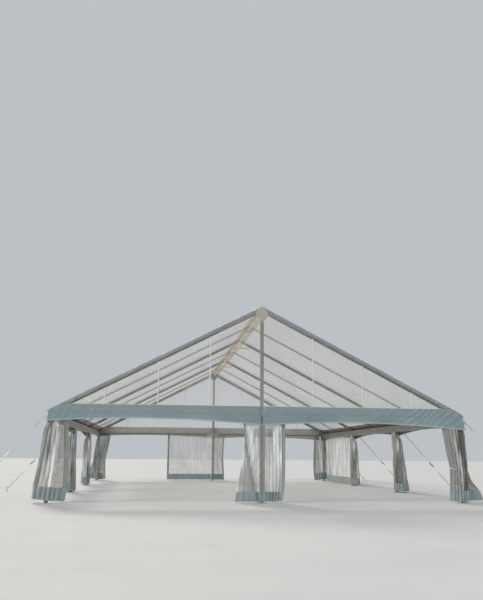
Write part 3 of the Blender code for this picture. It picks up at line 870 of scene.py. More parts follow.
def crown_plates():
    """Splice plates on both faces of each crown, and brackets under each eave, with their bolts."""
    spots, axes = [], []
    plates, brackets = [], []
    (left_low, left_high), (right_low, right_high) = (plate_edge(side, CROWN_PLATE) for side in (-1, 1))
    low, high = (0, rafter_foot(0) + 0.01), (0, rafter_top(0) - 0.03)
    crown = [left_low, low, right_low, right_high, high, left_high]
    for y in FRAMES:
        faces = (-1, 1) if abs(y) < END_Y else (-math.copysign(1, y),)
        for way in faces:
            near = y + way * RAFTER_WIDTH / 2
            plates.append(rafter_plate(crown, 0.01, near, way))
            for side in (-1, 1):
                (low, high), (far_low, far_high) = (plate_edge(side, x) for x in EAVE_PLATE)
                brackets.append(rafter_plate([low, far_low, far_high, high][::side], 0.008, near, way))
            for x in CROWN_BOLTS + tuple(side * x for side in (-1, 1) for x in EAVE_BOLTS):
                spots.append((x, near + way * BOLT_OUT, rafter_middle(abs(x))))
                axes.append((0, way, 0))
    fit(solid("crown_plates", plates, STEEL), "aluminium")
    fit(solid("eave_plates", brackets, STEEL), "aluminium")
    fit(grow("frame_bolts", BOLTS, STEEL, (spots, []), axes, Head=0.011, Height=0.008), "aluminium")


def carried_frame():
    """Better finishes on the pieces of the frame whose shape is already right."""
    for name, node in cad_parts.items():
        if name.startswith(("mid_rafter", "crown_tie")):
            node.material_slots[0].material = LIGHT_BAR


# Roof covers


# Half widths of the tapes over the rafters and of the welds between them
TAPE_HALF = 0.045
WELD_HALF = 0.018


def roof_sheet(name, finish, side, margin, start, end, rows, lift=0.0005):
    """A sheet on one slope that reaches margin under the ridge band and the eave border."""
    edge = HALF_LENGTH - COVER
    return grow(
        name, ROOF_SHEET, finish, From=BAND_HALF - margin, To=ROOF_REACH - EAVE_BORDER + margin,
        Start=max(start, -edge), End=min(end, edge), Rows=rows, Columns=96, Lift=lift, Sag=ROOF_SAG,
        Ripple=ROOF_RIPPLE, Side=float(side), Seed=3.0 + side,
    )


def roof_covers():
    margin = 0.03
    for side_name, side in SIDES.items():
        film = roof_sheet(
            f"clear_roof_{side_name}", ROOF_FILM, side, margin, -HALF_LENGTH, HALF_LENGTH, 366, -0.003)
        fit(film, "clear_vinyl", f"roof_clear_{side_name}")
        strips, supports = [], []
        for number, y in enumerate(FRAMES, start=1):
            supports.append(f"rafter_bar_{side_name}_{number}")
            strips.append((f"roof_tape_{side_name}_{number}", RAKE, y, TAPE_HALF, 4))
        for label, y in (("m6", -BAY), ("p0", 0.0), ("p6", BAY)):
            strips.append((f"roof_weld_{side_name}_{label}", WELD, y, WELD_HALF, 3))
        for name, finish, y, half, rows in strips:
            fit(roof_sheet(name, finish, side, 0.02, y - half, y + half, rows), "white_vinyl")


def ridge_band():
    """The opaque band over the ridge, rounded at the crown."""
    columns, rows = 41, 366
    across = np.linspace(-BAND_HALF, BAND_HALF, columns)
    v, u = np.meshgrid(across, np.linspace(-HALF_LENGTH, HALF_LENGTH, rows))
    off = np.abs(v)
    flat = np.sqrt(v ** 2 + 0.05 ** 2) - 0.016
    beat = np.abs(np.sin(math.pi * u / (BAY / 2)))
    lift = 0.004 + 0.004 * soft_noise(u * 2.1, v * 9, 11) * rising(off, 0.05, 0.2)
    lift = lift - 0.004 * beat * rising(off, 0.05, 0.24)
    x = v * COS + np.sign(v) * lift * SIN * rising(off, 0, 0.04)
    z = RIDGE - flat * SIN + (lift + sleeve(u)) * COS - 0.003
    points, cloth = np.stack([x, u, z], axis=-1), np.stack([v, u], axis=-1)
    faces = grid_faces(rows, columns)
    band = shell("ridge_cover", points, faces, [ROOF_BORDER, RIDGE_INNER], cloth, thickness=SHEET_THICK)
    fit(band, "white_vinyl", "ridge_band")


def side_foot(y, side):
    """Lower edge of a side valance, drawn down at each frame and scalloped between them."""
    bays = np.array([-HALF_LENGTH, -BAY / 2, BAY / 2, HALF_LENGTH])
    bay = np.clip(np.searchsorted(bays, y) - 1, 0, BAYS - 1)
    share = np.clip((y - bays[bay]) / BAY, 0, 1)
    corner = float(gable_foot(np.array(side * GABLE_REACH)))
    low = np.interp(np.abs(y), (BAY / 2, HALF_LENGTH), (SIDE_FOOT, corner))
    return low + 0.16 * np.sin(math.pi * share) ** 0.8


def eave_points(side, down, y, lift):
    """Points of an eave cover; down runs over the slope (below 0) and then down the valance."""
    share = rising(down, -0.02, 0.02)
    x = HALF_WIDTH - 0.001 + np.minimum(down, 0) * COS
    z = EAVE - np.minimum(down, 0) * SIN - np.maximum(down, 0)
    normal_x = SIN * (1 - share) + share
    normal_z = COS * (1 - share)
    pinch = 0.006 * (1 - np.abs(rising(down, -0.03, 0.03) * 2 - 1))
    length = np.hypot(normal_x, normal_z)
    x = x + (lift - pinch) * normal_x / length
    z = z + (lift - pinch) * normal_z / length
    return np.stack([side * x, y, z], axis=-1)


def eave_lift(side, down, y):
    """Slack and tension creases of an eave cover."""
    hang_share = rising(down, 0.0, 0.25)
    from_frame = (y + BAY / 2) % BAY
    from_frame = np.minimum(from_frame, BAY - from_frame)
    near = np.exp(-(from_frame / 0.7) ** 2)
    creases = crests(9.0 * (y + 1.1 * down) + 2 * soft_noise(y * 0.9, down * 2, 21))
    creases = 0.009 * near * creases * rising(down, -0.25, 0.1)
    creases = creases * (0.4 + 0.6 * rising(soft_noise(y * 2.0, 0.5, 24), -0.4, 0.6))
    sway = 0.014 * hang_share * soft_noise(y * 1.4, down * 1.5, 22 + side)
    sway = sway + 0.006 * soft_noise(y * 4.0, down * 6.0, 25 + side)
    over = sleeve(y) * rising(-down, -0.02, 0.10)
    return creases + sway * rising(np.abs(down), 0.0, 0.05) + 0.03 * hang_share + over


def eave_covers():
    rows, columns, trim_columns = 430, 27, 4
    hem_width, overlap = 0.035, 0.001
    y = np.linspace(-HALF_LENGTH, HALF_LENGTH, rows)

    def on_eave(side, down, off=0.0):
        places = np.repeat(y[:, None], down.shape[1], axis=1)
        return eave_points(side, down, places, eave_lift(side, down, places) + off), places

    for side_name, side in SIDES.items():
        drop = EAVE - side_foot(y, side)
        down = -EAVE_BORDER + np.linspace(0, 1, columns)[None, :] * (EAVE_BORDER + drop[:, None])
        points, places = on_eave(side, down)
        faces = grid_faces(rows, columns)[:, ::side]
        cloth = np.stack([down, places], axis=-1)
        name, finishes = f"eave_border_{side_name}", [ROOF_BORDER, INNER]
        cover = shell(name, points, faces, finishes, cloth, thickness=SHEET_THICK)
        fit(cover, "white_vinyl", f"eave_cover_{side_name}")
        share = np.linspace(0, 1, trim_columns)[None, :]
        hem = (drop - hem_width)[:, None] + share * (hem_width + overlap)
        seam = np.repeat(0.030 + 0.022 * share, rows, axis=0)
        for label, band, finish in (("hem", hem, WELD), ("seam", seam, ROOF_BORDER)):
            points, _ = on_eave(side, band, 0.0022)
            faces = grid_faces(rows, trim_columns)
            trim = shell(f"eave_{label}_{side_name}", points, faces, [finish], thickness=TRIM_THICK)
            fit(trim, "white_vinyl")


# Gables


GABLE_REACH = HALF_WIDTH - 0.002
GABLE_FACE = HALF_LENGTH - 0.003
POLE_NOTCH = LEG / 2 + 0.004
CROWN_HALF = 0.05
NET_STEP = 0.03
PANE_STEP = 0.07


def gable_foot(x):
    """Lower edge of the gable valance: tied at the corners and at the king pole."""
    ties = (EAVE - 0.265, VALANCE_FOOT - 0.01, EAVE - 0.39)
    left = x < 0
    share = np.clip(np.where(left, (x + GABLE_REACH) / GABLE_REACH, x / GABLE_REACH), 0, 1)
    low = np.where(left, ties[0] + (ties[1] - ties[0]) * share, ties[1] + (ties[2] - ties[1]) * share)
    return low + 0.135 * np.sin(math.pi * share) ** 0.8


def aslant(x, z, turn):
    """Distance across lines that climb at an angle."""
    return z * np.cos(turn) - x * np.sin(turn)


def gable_lift(x, z):
    """How far the gable's border stands out: slack below, creases that climb to the corners."""
    hang_share = rising(EAVE + 0.05 - z, 0.0, 0.3)
    off = np.abs(x)
    off_pole = rising(off, 0.0, 0.5)
    sway = 0.016 * hang_share * soft_noise(x * 1.1 + 7, z * 0.8, 31)
    sway = sway + 0.006 * hang_share * soft_noise(x * 3.2, z * 2.4, 32)
    climb = aslant(x, z, math.radians(37))
    wander = 1.5 * soft_noise(x * 1.3, z * 2.6, 33)
    right = rising(x, 2.0, 5.0)
    strength = 0.25 + 0.75 * rising(soft_noise(climb * 4.0, x * 0.6, 34), -0.6, 0.5)
    creases = 0.020 * right * strength * crests(climb * 20.0 + wander)
    steep = aslant(x, z, math.radians(60))
    left = rising(-x, 3.9, 5.5)
    patchy = rising(soft_noise(steep * 3.0, z, 35), -0.2, 0.7)
    creases = creases + 0.018 * left * patchy * crests(steep * 11.0 + 0.8 * wander)
    gentle = aslant(x, z, math.radians(24) * np.sign(x))
    rare = rising(soft_noise(gentle * 5.0 + 3, x * 0.7, 37), 0.25, 0.8) * (1 - right)
    creases = creases + 0.010 * rare * crests(gentle * 16.0 + wander)
    middle = rising(0.8 - off, 0.0, 0.6) * off_pole
    creases = creases + 0.006 * middle * crests(np.arctan2(z - EAVE, off + 0.05) * 7.0)
    away = rising(GABLE_REACH - off, 0.0, 0.06) * rising(off, POLE_NOTCH, 0.2)
    rake = rising(z - EAVE, 0.3, 0.8)
    pucker = 0.003 * rake * np.sin(x * 13.0 + 2 * soft_noise(x * 2, 0.3, 36))
    return (creases + sway * off_pole + pucker) * away + 0.003


def pane_lift(end, x, z):
    """How far a gable's film stands out, flat along its sill."""
    edge = rising(z - BORDER_TOP, 0.0, 0.4)
    broad = 0.012 * edge * soft_noise(x * 0.9 + end, z * 0.9, 41)
    return broad + 0.004 * edge * soft_noise(x * 3.1, z * 3.4, 42)


def on_gable(end, x, z, lift):
    """Points off a gable cover's face by lift; the valance's corners hang outwards."""
    wide = x + np.sign(x) * 0.035 * rising(np.abs(x), 5.3, GABLE_REACH) * rising(EAVE + 0.05 - z, 0.0, 0.3)
    return np.stack([wide, end * (GABLE_FACE + lift), z], axis=-1)


def gable_spot(end, x, z, off):
    """One point off the border's face."""
    lift = float(gable_lift(np.array(x), np.array(z))) + off
    return (x, end * (GABLE_FACE + lift), z)


def gable_sheet(name, end, net, lift, finishes, thickness=0.0):
    """A sheet on a gable from a flat net of points and triangles, facing outwards."""
    flat, faces = net
    points = on_gable(end, flat[:, 0], flat[:, 1], lift)
    return shell(name, points, faces[:, ::-end], finishes, flat, thickness=thickness)


def gable_ribbon(name, end, path, width, lift, finish, columns):
    """A strip on a gable cover along a path of (x, z), from its left edge to its right one."""
    path = np.array(path, float)
    step = np.gradient(path, axis=0)
    step /= np.linalg.norm(step, axis=1)[:, None]
    across = np.stack([-step[:, 1], step[:, 0]], axis=1)
    share = np.linspace(-0.5, 0.5, columns)
    flat = path[:, None, :] + across[:, None, :] * (share * width)[None, :, None]
    x, z = flat[..., 0], flat[..., 1]
    points = on_gable(end, x, z, gable_lift(x, z) + lift)
    return shell(name, points, grid_faces(len(path), columns)[:, ::end], [finish], thickness=TRIM_THICK)


def line_between(points, step):
    """Points along straight stretches, about step apart, without the last one."""
    made = []
    for (x0, z0), (x1, z1) in zip(points, points[1:]):
        count = max(1, round(math.hypot(x1 - x0, z1 - z0) / step))
        made += [(x0 + (x1 - x0) * k / count, z0 + (z1 - z0) * k / count) for k in range(count)]
    return made


def mirrored(outline):
    return [(-x, z) for x, z in outline[::-1]]


def within(points, outline):
    """True for each point inside a closed outline."""
    x, y = points[:, 0], points[:, 1]
    held = np.zeros(len(points), bool)
    for (x0, y0), (x1, y1) in zip(outline, outline[1:] + outline[:1]):
        if y0 == y1:
            continue
        crosses = (y0 > y) != (y1 > y)
        held ^= crosses & (x < (x1 - x0) * (y - y0) / (y1 - y0) + x0)
    return held


def triangulated(outline, step):
    """An outline filled with an even net of triangles, as (points, faces)."""
    edge = np.array(outline)
    low, high = edge.min(0), edge.max(0)
    rows = np.arange(low[1], high[1], step * 0.866)
    columns = np.arange(low[0], high[0], step)
    net = np.array([(x + (step / 2 if k % 2 else 0), z) for k, z in enumerate(rows) for x in columns])
    net = net[within(net, outline)]
    nearest = np.full(len(net), np.inf)
    for part in np.array_split(edge, max(1, len(edge) // 200)):
        gaps = np.hypot(net[:, None, 0] - part[None, :, 0], net[:, None, 1] - part[None, :, 1])
        nearest = np.minimum(nearest, gaps.min(1))
    net = net[nearest > step * 0.62]
    points = [Vector(p) for p in outline] + [Vector(p) for p in net.tolist()]
    count = len(outline)
    edges = [(i, (i + 1) % count) for i in range(count)]
    made = geometry.delaunay_2d_cdt(points, edges, [list(range(count))], 1, 1e-6)
    return np.array([tuple(p) for p in made[0]]), np.array([list(f) for f in made[2]])


def window_corners():
    """Half width of the clear window's foot, and the height of its crown."""
    drop = RAKE_BORDER / COS + COVER / COS
    crown = RIDGE - drop + SLEEVE / COS
    return (crown - BORDER_TOP) / RISE, crown


def cover_top(x):
    """Height of the gable cover's upper edge."""
    return rafter_top(x) + 0.004 + SLEEVE / COS


def strip_outline(side, half, shoulder):
    """Outline of one half of a gable's eave border and valance, notched round the king pole."""
    head, slit_top, slit_foot = EAVE + 0.006, 0.011, 0.003
    corner = cover_top(GABLE_REACH)
    xs = np.linspace(-GABLE_REACH, -slit_foot, 200)
    hem = list(zip(xs.tolist(), gable_foot(-side * xs).tolist()))
    inner = (-POLE_NOTCH - 0.01, BORDER_TOP)
    notch = line_between([
        hem[-1], (-slit_top, head), (-POLE_NOTCH, head), (-POLE_NOTCH, BORDER_TOP), inner,
    ], 0.02)
    over = line_between([
        inner, (-half, BORDER_TOP), (-shoulder, BORDER_TOP),
        (0.07 - GABLE_REACH, corner + 0.07 * RISE), (0.03 - GABLE_REACH, corner - 0.002),
        (0.008 - GABLE_REACH, corner - 0.028), (-GABLE_REACH, corner - 0.06), hem[0],
    ], NET_STEP)
    outline = hem[:-1] + notch + over
    return outline if side < 0 else mirrored(outline)


def gable_covers():
    half, crown = window_corners()
    top = cover_top(0)
    shoulder = (top - BORDER_TOP) / RISE
    peak = top - CROWN_HALF * RISE
    rake = line_between([
        (half, BORDER_TOP), (shoulder, BORDER_TOP), (CROWN_HALF, peak), (0, peak), (0, crown),
        (half, BORDER_TOP),
    ], NET_STEP)
    sill = BORDER_TOP - 0.012
    window = line_between([
        (-half - 0.03, sill), (half + 0.03, sill), (0, crown + 0.02), (-half - 0.03, sill)], PANE_STEP)
    pane = triangulated(window, PANE_STEP)
    gusset = triangulated(gusset_outline(top, crown), 0.02)
    sheets = []
    for side_name, side in SIDES.items():
        strip = triangulated(strip_outline(side, half, shoulder), NET_STEP)
        cut = (round(GABLE_REACH, 2), round(BORDER_TOP - VALANCE_FOOT + 0.05, 2))
        sheets.append(("eave_strip", side_name, strip, cut, [BORDER, GABLE_INNER]))
        border = triangulated(rake if side > 0 else mirrored(rake), NET_STEP)
        sheets.append(("rake_strip", side_name, border, (round(shoulder / COS, 2), 0.17), [RAKE, RAKE_INNER]))
    for end_name, end in ENDS.items():
        for kind, side_name, net, cut, finishes in sheets:
            lift = gable_lift(net[0][:, 0], net[0][:, 1])
            cover = gable_sheet(f"gable_{kind}_{end_name}_{side_name}", end, net, lift, finishes, SHEET_THICK)
            fit(cover, "white_vinyl", f"gable_border_{end_name}")
            corners = net[0][net[1]]
            doubled = np.cross(corners[:, 1] - corners[:, 0], corners[:, 2] - corners[:, 0])
        gable_pane(end_name, end, pane, half, crown)
        lift = gable_lift(gusset[0][:, 0], gusset[0][:, 1]) + 0.005
        fit(gable_sheet(f"crown_gusset_{end_name}", end, gusset, lift, [GUSSET], TRIM_THICK), "white_vinyl")
        gable_trim(end_name, end, half, crown)
        lacing(end_name, end)


def gusset_outline(top, crown):
    """The pointed patch that stiffens a gable's crown and covers the head of the king pole."""
    wide, narrow, low, high = 0.20, 0.12, crown - 0.34, top - 0.008
    wing, arm, peak = crown - wide * RISE, high - narrow * RISE, high - CROWN_HALF * RISE
    return line_between([
        (-wide, wing), (0, low), (wide, wing), (narrow, arm), (CROWN_HALF, peak), (-CROWN_HALF, peak),
        (-narrow, arm), (-wide, wing),
    ], 0.02)


def gable_pane(end_name, end, pane, half, crown):
    """The clear window and the welds between its panels."""
    lift = pane_lift(end, pane[0][:, 0], pane[0][:, 1]) - 0.002
    film = gable_sheet(f"gable_pane_{end_name}", end, pane, lift, [GABLE_FILM])
    fit(film, "clear_vinyl", f"gable_window_{end_name}")
    base, height = 2 * half + 0.06, crown - BORDER_TOP + 0.032
    base * height / 2
    rows, columns = 40, 3
    for k in (-3, -2, -1, 1, 2, 3):
        middle = k * PANEL * (0.99 if abs(k) > 1 else 1.0)
        heights = np.linspace(BORDER_TOP - 0.01, crown - abs(middle) * RISE - 0.012, rows)
        x, z = np.meshgrid(middle + np.linspace(-WELD_HALF, WELD_HALF, columns), heights)
        points = on_gable(end, x, z, pane_lift(end, x, z) + 0.001)
        # The back gable's welds take the copy of the weld tape painted lighter for backlight
        finish = WELD if end < 0 else FAR_WELD
        name = f"gable_weld_{end_name}_{'left' if k < 0 else 'right'}_{abs(k)}"
        fit(shell(name, points, grid_faces(rows, columns), [finish], thickness=0.001), "white_vinyl")


def gable_trim(end_name, end, half, crown):
    """Welded hems and edges of a gable's border, a painted shadow line under its rake, its eave seam and its
    stitched rake line.
    """
    count, corner_count = 220, 24
    # Where the painted shadow line under the rake starts, out from the crown
    shadow_line_from = 1.3
    for side_name, side in SIDES.items():
        label = f"{end_name}_{side_name}"

        def line(low, high, step=0.05):
            return line_between([(side * low[0], low[1]), (side * high[0], high[1])], step)

        rake = line((0.02, crown + 0.012), (half, BORDER_TOP + 0.008))
        edge = line((shadow_line_from, crown + 0.010 - shadow_line_from * RISE), (half, BORDER_TOP + 0.006))
        sill = line((POLE_NOTCH, BORDER_TOP - 0.002), (half, BORDER_TOP - 0.002), 0.04)
        xs = np.linspace(side * 0.012, side * (GABLE_REACH - 0.002), count)
        hem = np.stack([xs, gable_foot(xs) + 0.018], axis=1)
        xs = np.linspace(side * 0.06, side * (GABLE_REACH - 0.004), count)
        seam = np.stack([xs, np.full(count, EAVE + 0.02)], axis=1)
        corner_x = side * (GABLE_REACH - 0.018)
        low = float(gable_foot(np.array(corner_x))) + 0.003
        rise = np.linspace(low, rafter_top(GABLE_REACH) - 0.01, corner_count)
        corner = np.stack([np.full(corner_count, corner_x), rise], axis=1)
        for kind, path, width, lift, finish, columns in (
            ("rake_weld", rake, 0.016, 0.0025, RAKE, 3),
            ("rake_shadow_line", edge, 0.016, 0.004, RAKE_SHADOW, 3),
            ("sill_weld", sill, 0.016, 0.0025, WELD, 3),
            ("valance_hem", hem, 0.036, 0.0025, ROOF_BORDER, 4),
            ("eave_seam", seam, 0.02, 0.002, BORDER, 3),
            ("corner_weld", corner, 0.03, 0.002, WELD, 3),
        ):
            fit(gable_ribbon(f"{kind}_{label}", end, path, width, lift, finish, columns), "white_vinyl")
        points, edges = [], []
        for offset in (0.028 * 1.1, 0.034 * 1.1):
            start = len(points)
            row = line((0.06, crown + offset), (half + 0.1, BORDER_TOP - 0.05 + offset))
            points += [gable_spot(end, x, z, 0.0025) for x, z in row]
            edges += [(i, i + 1) for i in range(start, len(points) - 1)]
        name, seams = f"rake_stitches_{label}", (points, edges)
        threads = grow(name, STITCHES, LACE, seams, Spacing=0.045, Long=0.026, Thick=0.0028)
        fit(threads, "white_vinyl")
        high, reach = COVER + SLEEVE / COS, 6.02
        bead = line_between([(0, rafter_top(0) + high), (side * reach, rafter_top(reach) + high)], 0.12)
        bead = [(x, end * (HALF_LENGTH - COVER), z) for x, z in bead]
        fit(solid(f"rake_keder_{label}", [tube(bead, 0.008)], RAKE), "white_vinyl")


def lacing(end_name, end):
    """The lace that draws the valance's halves together under the king pole."""
    heights = np.linspace(EAVE - 0.02, VALANCE_FOOT + 0.03, 7)
    spots = [gable_spot(end, side * 0.03, z, 0.003) for z in heights for side in (-1, 1)]
    axes = [(0, end, 0)] * len(spots)
    eyelets = grow(f"lace_eyelets_{end_name}", EYELETS, STEEL, (spots, []), axes, Radius=0.006, Roll=0.0016)
    fit(eyelets, "aluminium")
    bow = Vector((0, end * 0.005, 0))
    cords = []
    for k in range(0, len(spots) - 2, 2):
        for a, b in ((k, k + 3), (k + 1, k + 2)):
            one, two = Vector(spots[a]), Vector(spots[b])
            path = [one, one.lerp(two, 0.25) + bow, one.lerp(two, 0.75) + bow, two]
            cords.append(tube(path, 0.0022, sides=6))
    fit(solid(f"lace_{end_name}", cords, LACE), "strap_webbing")


# Curtains


def smoothed(values, share, axis):
    """Values averaged over a short stretch along an axis, with both ends kept."""
    values = np.moveaxis(values, axis, 0)
    width = max(1, int(len(values) * share))
    kernel = np.hanning(2 * width + 3)[1:-1]
    kernel /= kernel.sum()
    before = 2 * values[0] - values[width:0:-1]
    after = 2 * values[-1] - values[-2:-width - 2:-1]
    padded = np.concatenate([before, values, after])
    made = sum(w * padded[i:i + len(values)] for i, w in enumerate(kernel))
    return np.moveaxis(made, 0, axis)


def drape(
    name, rows, folds, depths, out, seed, strips=(0.0, 0.0), hem=0.30, body=CURTAIN_FILM, round_off=0.03,
    net=(96, 300), rise=(0.0, 0.0), pale=(0.5, 0.5), band=None,
):
    """A gathered sheet; each row is (height, plan points, share of the folds' depth).

    depths are the fold depths at the plan points, out is 1 where the folds stand to the left
    of the way along the points, strips are the widths of the opaque borders at the ends, band
    an opaque stretch as shares of the way, rise is how far the lower edge is lifted and pale
    how strongly the painted highlight streaks whiten the film, both at even steps along it.
    Hands back the sheet, its width when laid flat, and its height.
    laid flat, and its height.
    """
    count_z, count_s = net
    heights = np.array([row[0] for row in rows])
    plan = np.array([row[1] for row in rows], float)
    shares = np.interp(np.linspace(-heights[0], -heights[-1], count_z), -heights, [row[2] for row in rows])
    z = np.linspace(heights[0], heights[-1], count_z)
    order = np.argsort(heights)
    lines = np.empty((count_z, plan.shape[1], 2))
    for k in range(plan.shape[1]):
        for axis in range(2):
            lines[:, k, axis] = np.interp(z, heights[order], plan[order, k, axis])
    lines = smoothed(lines, 0.07, 0)
    steps = np.linalg.norm(np.diff(lines.mean(0), axis=0), axis=1)
    marks = np.concatenate([[0], np.cumsum(steps)]) / steps.sum()
    s = np.linspace(0, 1, count_s)
    base = np.empty((count_z, count_s, 2))
    for i in range(count_z):
        for axis in range(2):
            base[i, :, axis] = np.interp(s, marks, lines[i, :, axis])
    base = smoothed(base, round_off, 1)
    run = np.gradient(base, axis=1)
    length = np.linalg.norm(run, axis=2)
    run /= length[..., None]
    normal = np.stack([-run[..., 1], run[..., 0]], axis=2) * out
    total = length.sum(1).mean()
    low = 1 - (z - z[-1]) / (z[0] - z[-1])
    down = np.repeat(low[:, None], count_s, axis=1)
    wide = np.repeat(s[None, :], count_z, axis=0)
    fold = wide * folds

    # Where the folds lie and how deep they are
    wander = 1.6 * soft_noise(fold * 0.5, down * 1.3, seed) + 0.5 * soft_noise(fold, down * 4.0, seed + 1)
    phase = 2 * math.pi * folds * wide + wander
    amount = np.interp(s, marks, depths)[None, :] * shares[:, None]
    amount = amount * (0.72 + 0.28 * soft_noise(fold * 0.8, down * 1.1, seed + 2))
    for strip, from_end in zip(strips, (wide, 1 - wide)):
        if strip:
            amount = amount * (0.15 + 0.85 * rising(from_end * total, strip * 0.5, strip * 1.3))
    wave = amount * (0.5 - 0.5 * np.cos(phase)) ** 0.85
    crumple = 0.010 * soft_noise(fold * 2.3, down * 11.0, seed + 3)
    crumple = crumple + 0.004 * soft_noise(fold * 6.0, down * 26.0, seed + 4)
    crumple = crumple * np.clip(amount / 0.03, 0.02, 1)
    shift = -0.16 * (total / folds) * np.sin(2 * phase) * np.clip(amount / 0.05, 0, 1)
    place = base + normal * (wave + crumple)[..., None] + run * shift[..., None]
    lifted = np.interp(s, np.linspace(0, 1, len(rise)), rise)[None, :] * down ** 2
    height = z[:, None] + lifted + 0.010 * soft_noise(fold * 0.7, 0.5, seed + 5) * down ** 6
    points = np.concatenate([place, np.maximum(height, CURTAIN_FOOT - 0.012)[..., None]], axis=2)

    # The flat map, and which faces are film, hem and strip
    spans = np.linalg.norm(np.diff(points, axis=1), axis=2)
    flat = np.concatenate([np.zeros((count_z, 1)), np.cumsum(spans, axis=1)], axis=1)
    cloth = np.stack([flat, np.repeat(z[:, None], count_s, axis=1)], axis=-1)
    along = np.concatenate([np.zeros((count_z, 1)), np.cumsum(length[:, :-1], axis=1)], axis=1)[:-1, :-1]
    rest = length.sum(1)[:-1, None] - along
    picks = np.zeros(along.shape, int)
    picks[(along < strips[0]) | (rest < strips[1])] = 2
    if band:
        picks[:, (s[:-1] > band[0]) & (s[:-1] < band[1])] = 2
    picks[z[:-1] < z[-1] + hem] = 1
    curtain = shell(name, points, grid_faces(count_z, count_s), [body, HEM, STRIP], cloth, picks.ravel())
    # How strongly the painted highlight streaks whiten the film at each point
    share = np.interp(wide, np.linspace(0, 1, len(pale)), pale)
    share = share + 0.2 * soft_noise(wide * 5, down * 4, seed + 6)
    layer = curtain.data.attributes.new("pale", "FLOAT", "POINT")
    layer.data.foreach_set("value", share.ravel().astype(np.float32))
    return curtain, float(flat[:, -1].mean()), float(z[0] - z[-1])


def hang(name, node, rows, folds, depths, out, seed, rests_on, **more):
    curtain, width, height = drape(name, rows, folds, depths, out, seed, **more)
    fit(curtain, "clear_vinyl", node)


def front_curtains():
    """The two curtains that meet at the front king pole."""
    under, face = -POLE_FRONT - 0.002, -POLE_FRONT - 0.014
    heights = (CURTAIN_TOP, 2.19, 2.08, 1.75, 1.33, 0.90, 0.41, CURTAIN_FOOT)
    shares = (0.45, 0.5, 0.9, 1.0, 1.0, 1.0, 1.0, 1.0)
    slot = (0.026, 0.024, 0.023, 0.020, 0.012, 0.009, 0.008, 0.008)
    out = (0.0, 0.0, 1.0, 1.0, 1.0, 1.0, 1.0, 1.0)
    flap = (-0.50, -0.487, -0.48, -0.449, -0.395, -0.31, -0.21, -0.17)
    left_edge = (-0.56, -0.54, -0.525, -0.492, -0.548, -0.62, -0.72, -0.775)
    right_edge = (0.685, 0.69, 0.688, 0.685, 0.684, 0.68, 0.66, 0.595)
    left_rows, right_rows = [], []
    table = zip(heights, flap, left_edge, right_edge, slot, shares, out)
    for z, lead, left, right, half, share, free in table:
        near = face if free else under
        body = face + (0.008 if free else 0.05)
        front = body - free * (0.012 + 0.03 * float(rising(np.array(2.2 - z), 0.0, 2.0)))
        left_rows.append((z, [
            (lead, front - 0.006 - 0.006 * free), (left, front), (left, front + 0.03 + 0.02 * free),
            (left * 0.5, body + 0.03), (-0.09, near + 0.002), (-half, near),
        ], share))
        body = face + (0.02 if free else 0.05)
        right_rows.append((z, [
            (right, body + 0.01), (right - 0.12, body + 0.02), (0.30, body + 0.02), (0.10, near + 0.002),
            (half - 0.006, near),
        ], share))
    hang(
        "centre_curtain_left", "front_curtain_left", left_rows, 9, (0.012, 0.022, 0.03, 0.045, 0.006, 0.0),
        -1, 101, ["gable_beam_bar_front"], strips=(0.085, 0.07), round_off=0.015, rise=(0.0, 0.01, 0.0),
        pale=(0.5, 0.6, 0.9, 1.0, 0.7, 0.6, 0.7), hem=0.27,
    )
    hang(
        "centre_curtain_right", "front_curtain_right", right_rows, 7, (0.02, 0.06, 0.065, 0.008, 0.0),
        -1, 111, ["gable_beam_bar_front"], strips=(0.105, 0.085), round_off=0.015, rise=(0.02, 0.0, 0.015),
        pale=(0.5, 0.7, 0.9, 0.6, 0.5, 0.7, 0.6), hem=0.27,
    )


# Plans of the corner curtains: height, then x of the free edge, the corner and the side edge, then
# how far the side edge stands behind the gable
CORNER_PLANS = {
    "swept": (
        (CURTAIN_TOP, 5.50, 6.052, 6.050, 0.35), (2.16, 5.49, 6.06, 6.055, 0.35),
        (2.05, 5.485, 6.13, 6.10, 0.35), (1.56, 5.46, 6.185, 6.15, 0.35), (0.88, 5.435, 6.28, 6.20, 0.35),
        (0.40, 5.44, 6.355, 6.25, 0.35), (CURTAIN_FOOT, 5.49, 6.38, 6.27, 0.35),
    ),
    "flapped": (
        (CURTAIN_TOP, 5.41, 6.052, 6.050, 0.30), (2.16, 5.42, 6.056, 6.050, 0.30),
        (2.05, 5.43, 6.09, 6.08, 0.30), (1.45, 5.52, 6.12, 6.17, 0.28), (1.00, 5.61, 6.135, 6.22, 0.24),
        (0.60, 5.60, 6.14, 6.32, 0.20), (0.33, 5.585, 6.145, 6.54, 0.16),
        (CURTAIN_FOOT, 5.56, 6.14, 6.64, 0.14),
    ),
}
# In these looks pale sets where the painted highlight streaks are strong, and body picks a film with painted
# shade
CORNER_LOOKS = {
    "swept": {
        "strips": (0.12, 0.12), "hem": 0.37, "body": CORNER_FILM, "band": (0.60, 0.68),
        "rise": (0.0, 0.01, 0.03, 0.06, 0.07, 0.07),
        "pale": (0.4, 0.05, 0.1, 0.7, 0.9, 0.5, 0.5, 0.3, 0.3, 0.3),
    },
    "flapped": {
        "strips": (0.085, 0.12), "hem": 0.33, "body": SHADED_FILM,
        "rise": (0.03, 0.0, 0.0, 0.0, 0.03, 0.04), "pale": (0.1, 0.0, 0.25, 0.45, 0.1, 0.0, 0.1, 0.3),
    },
}


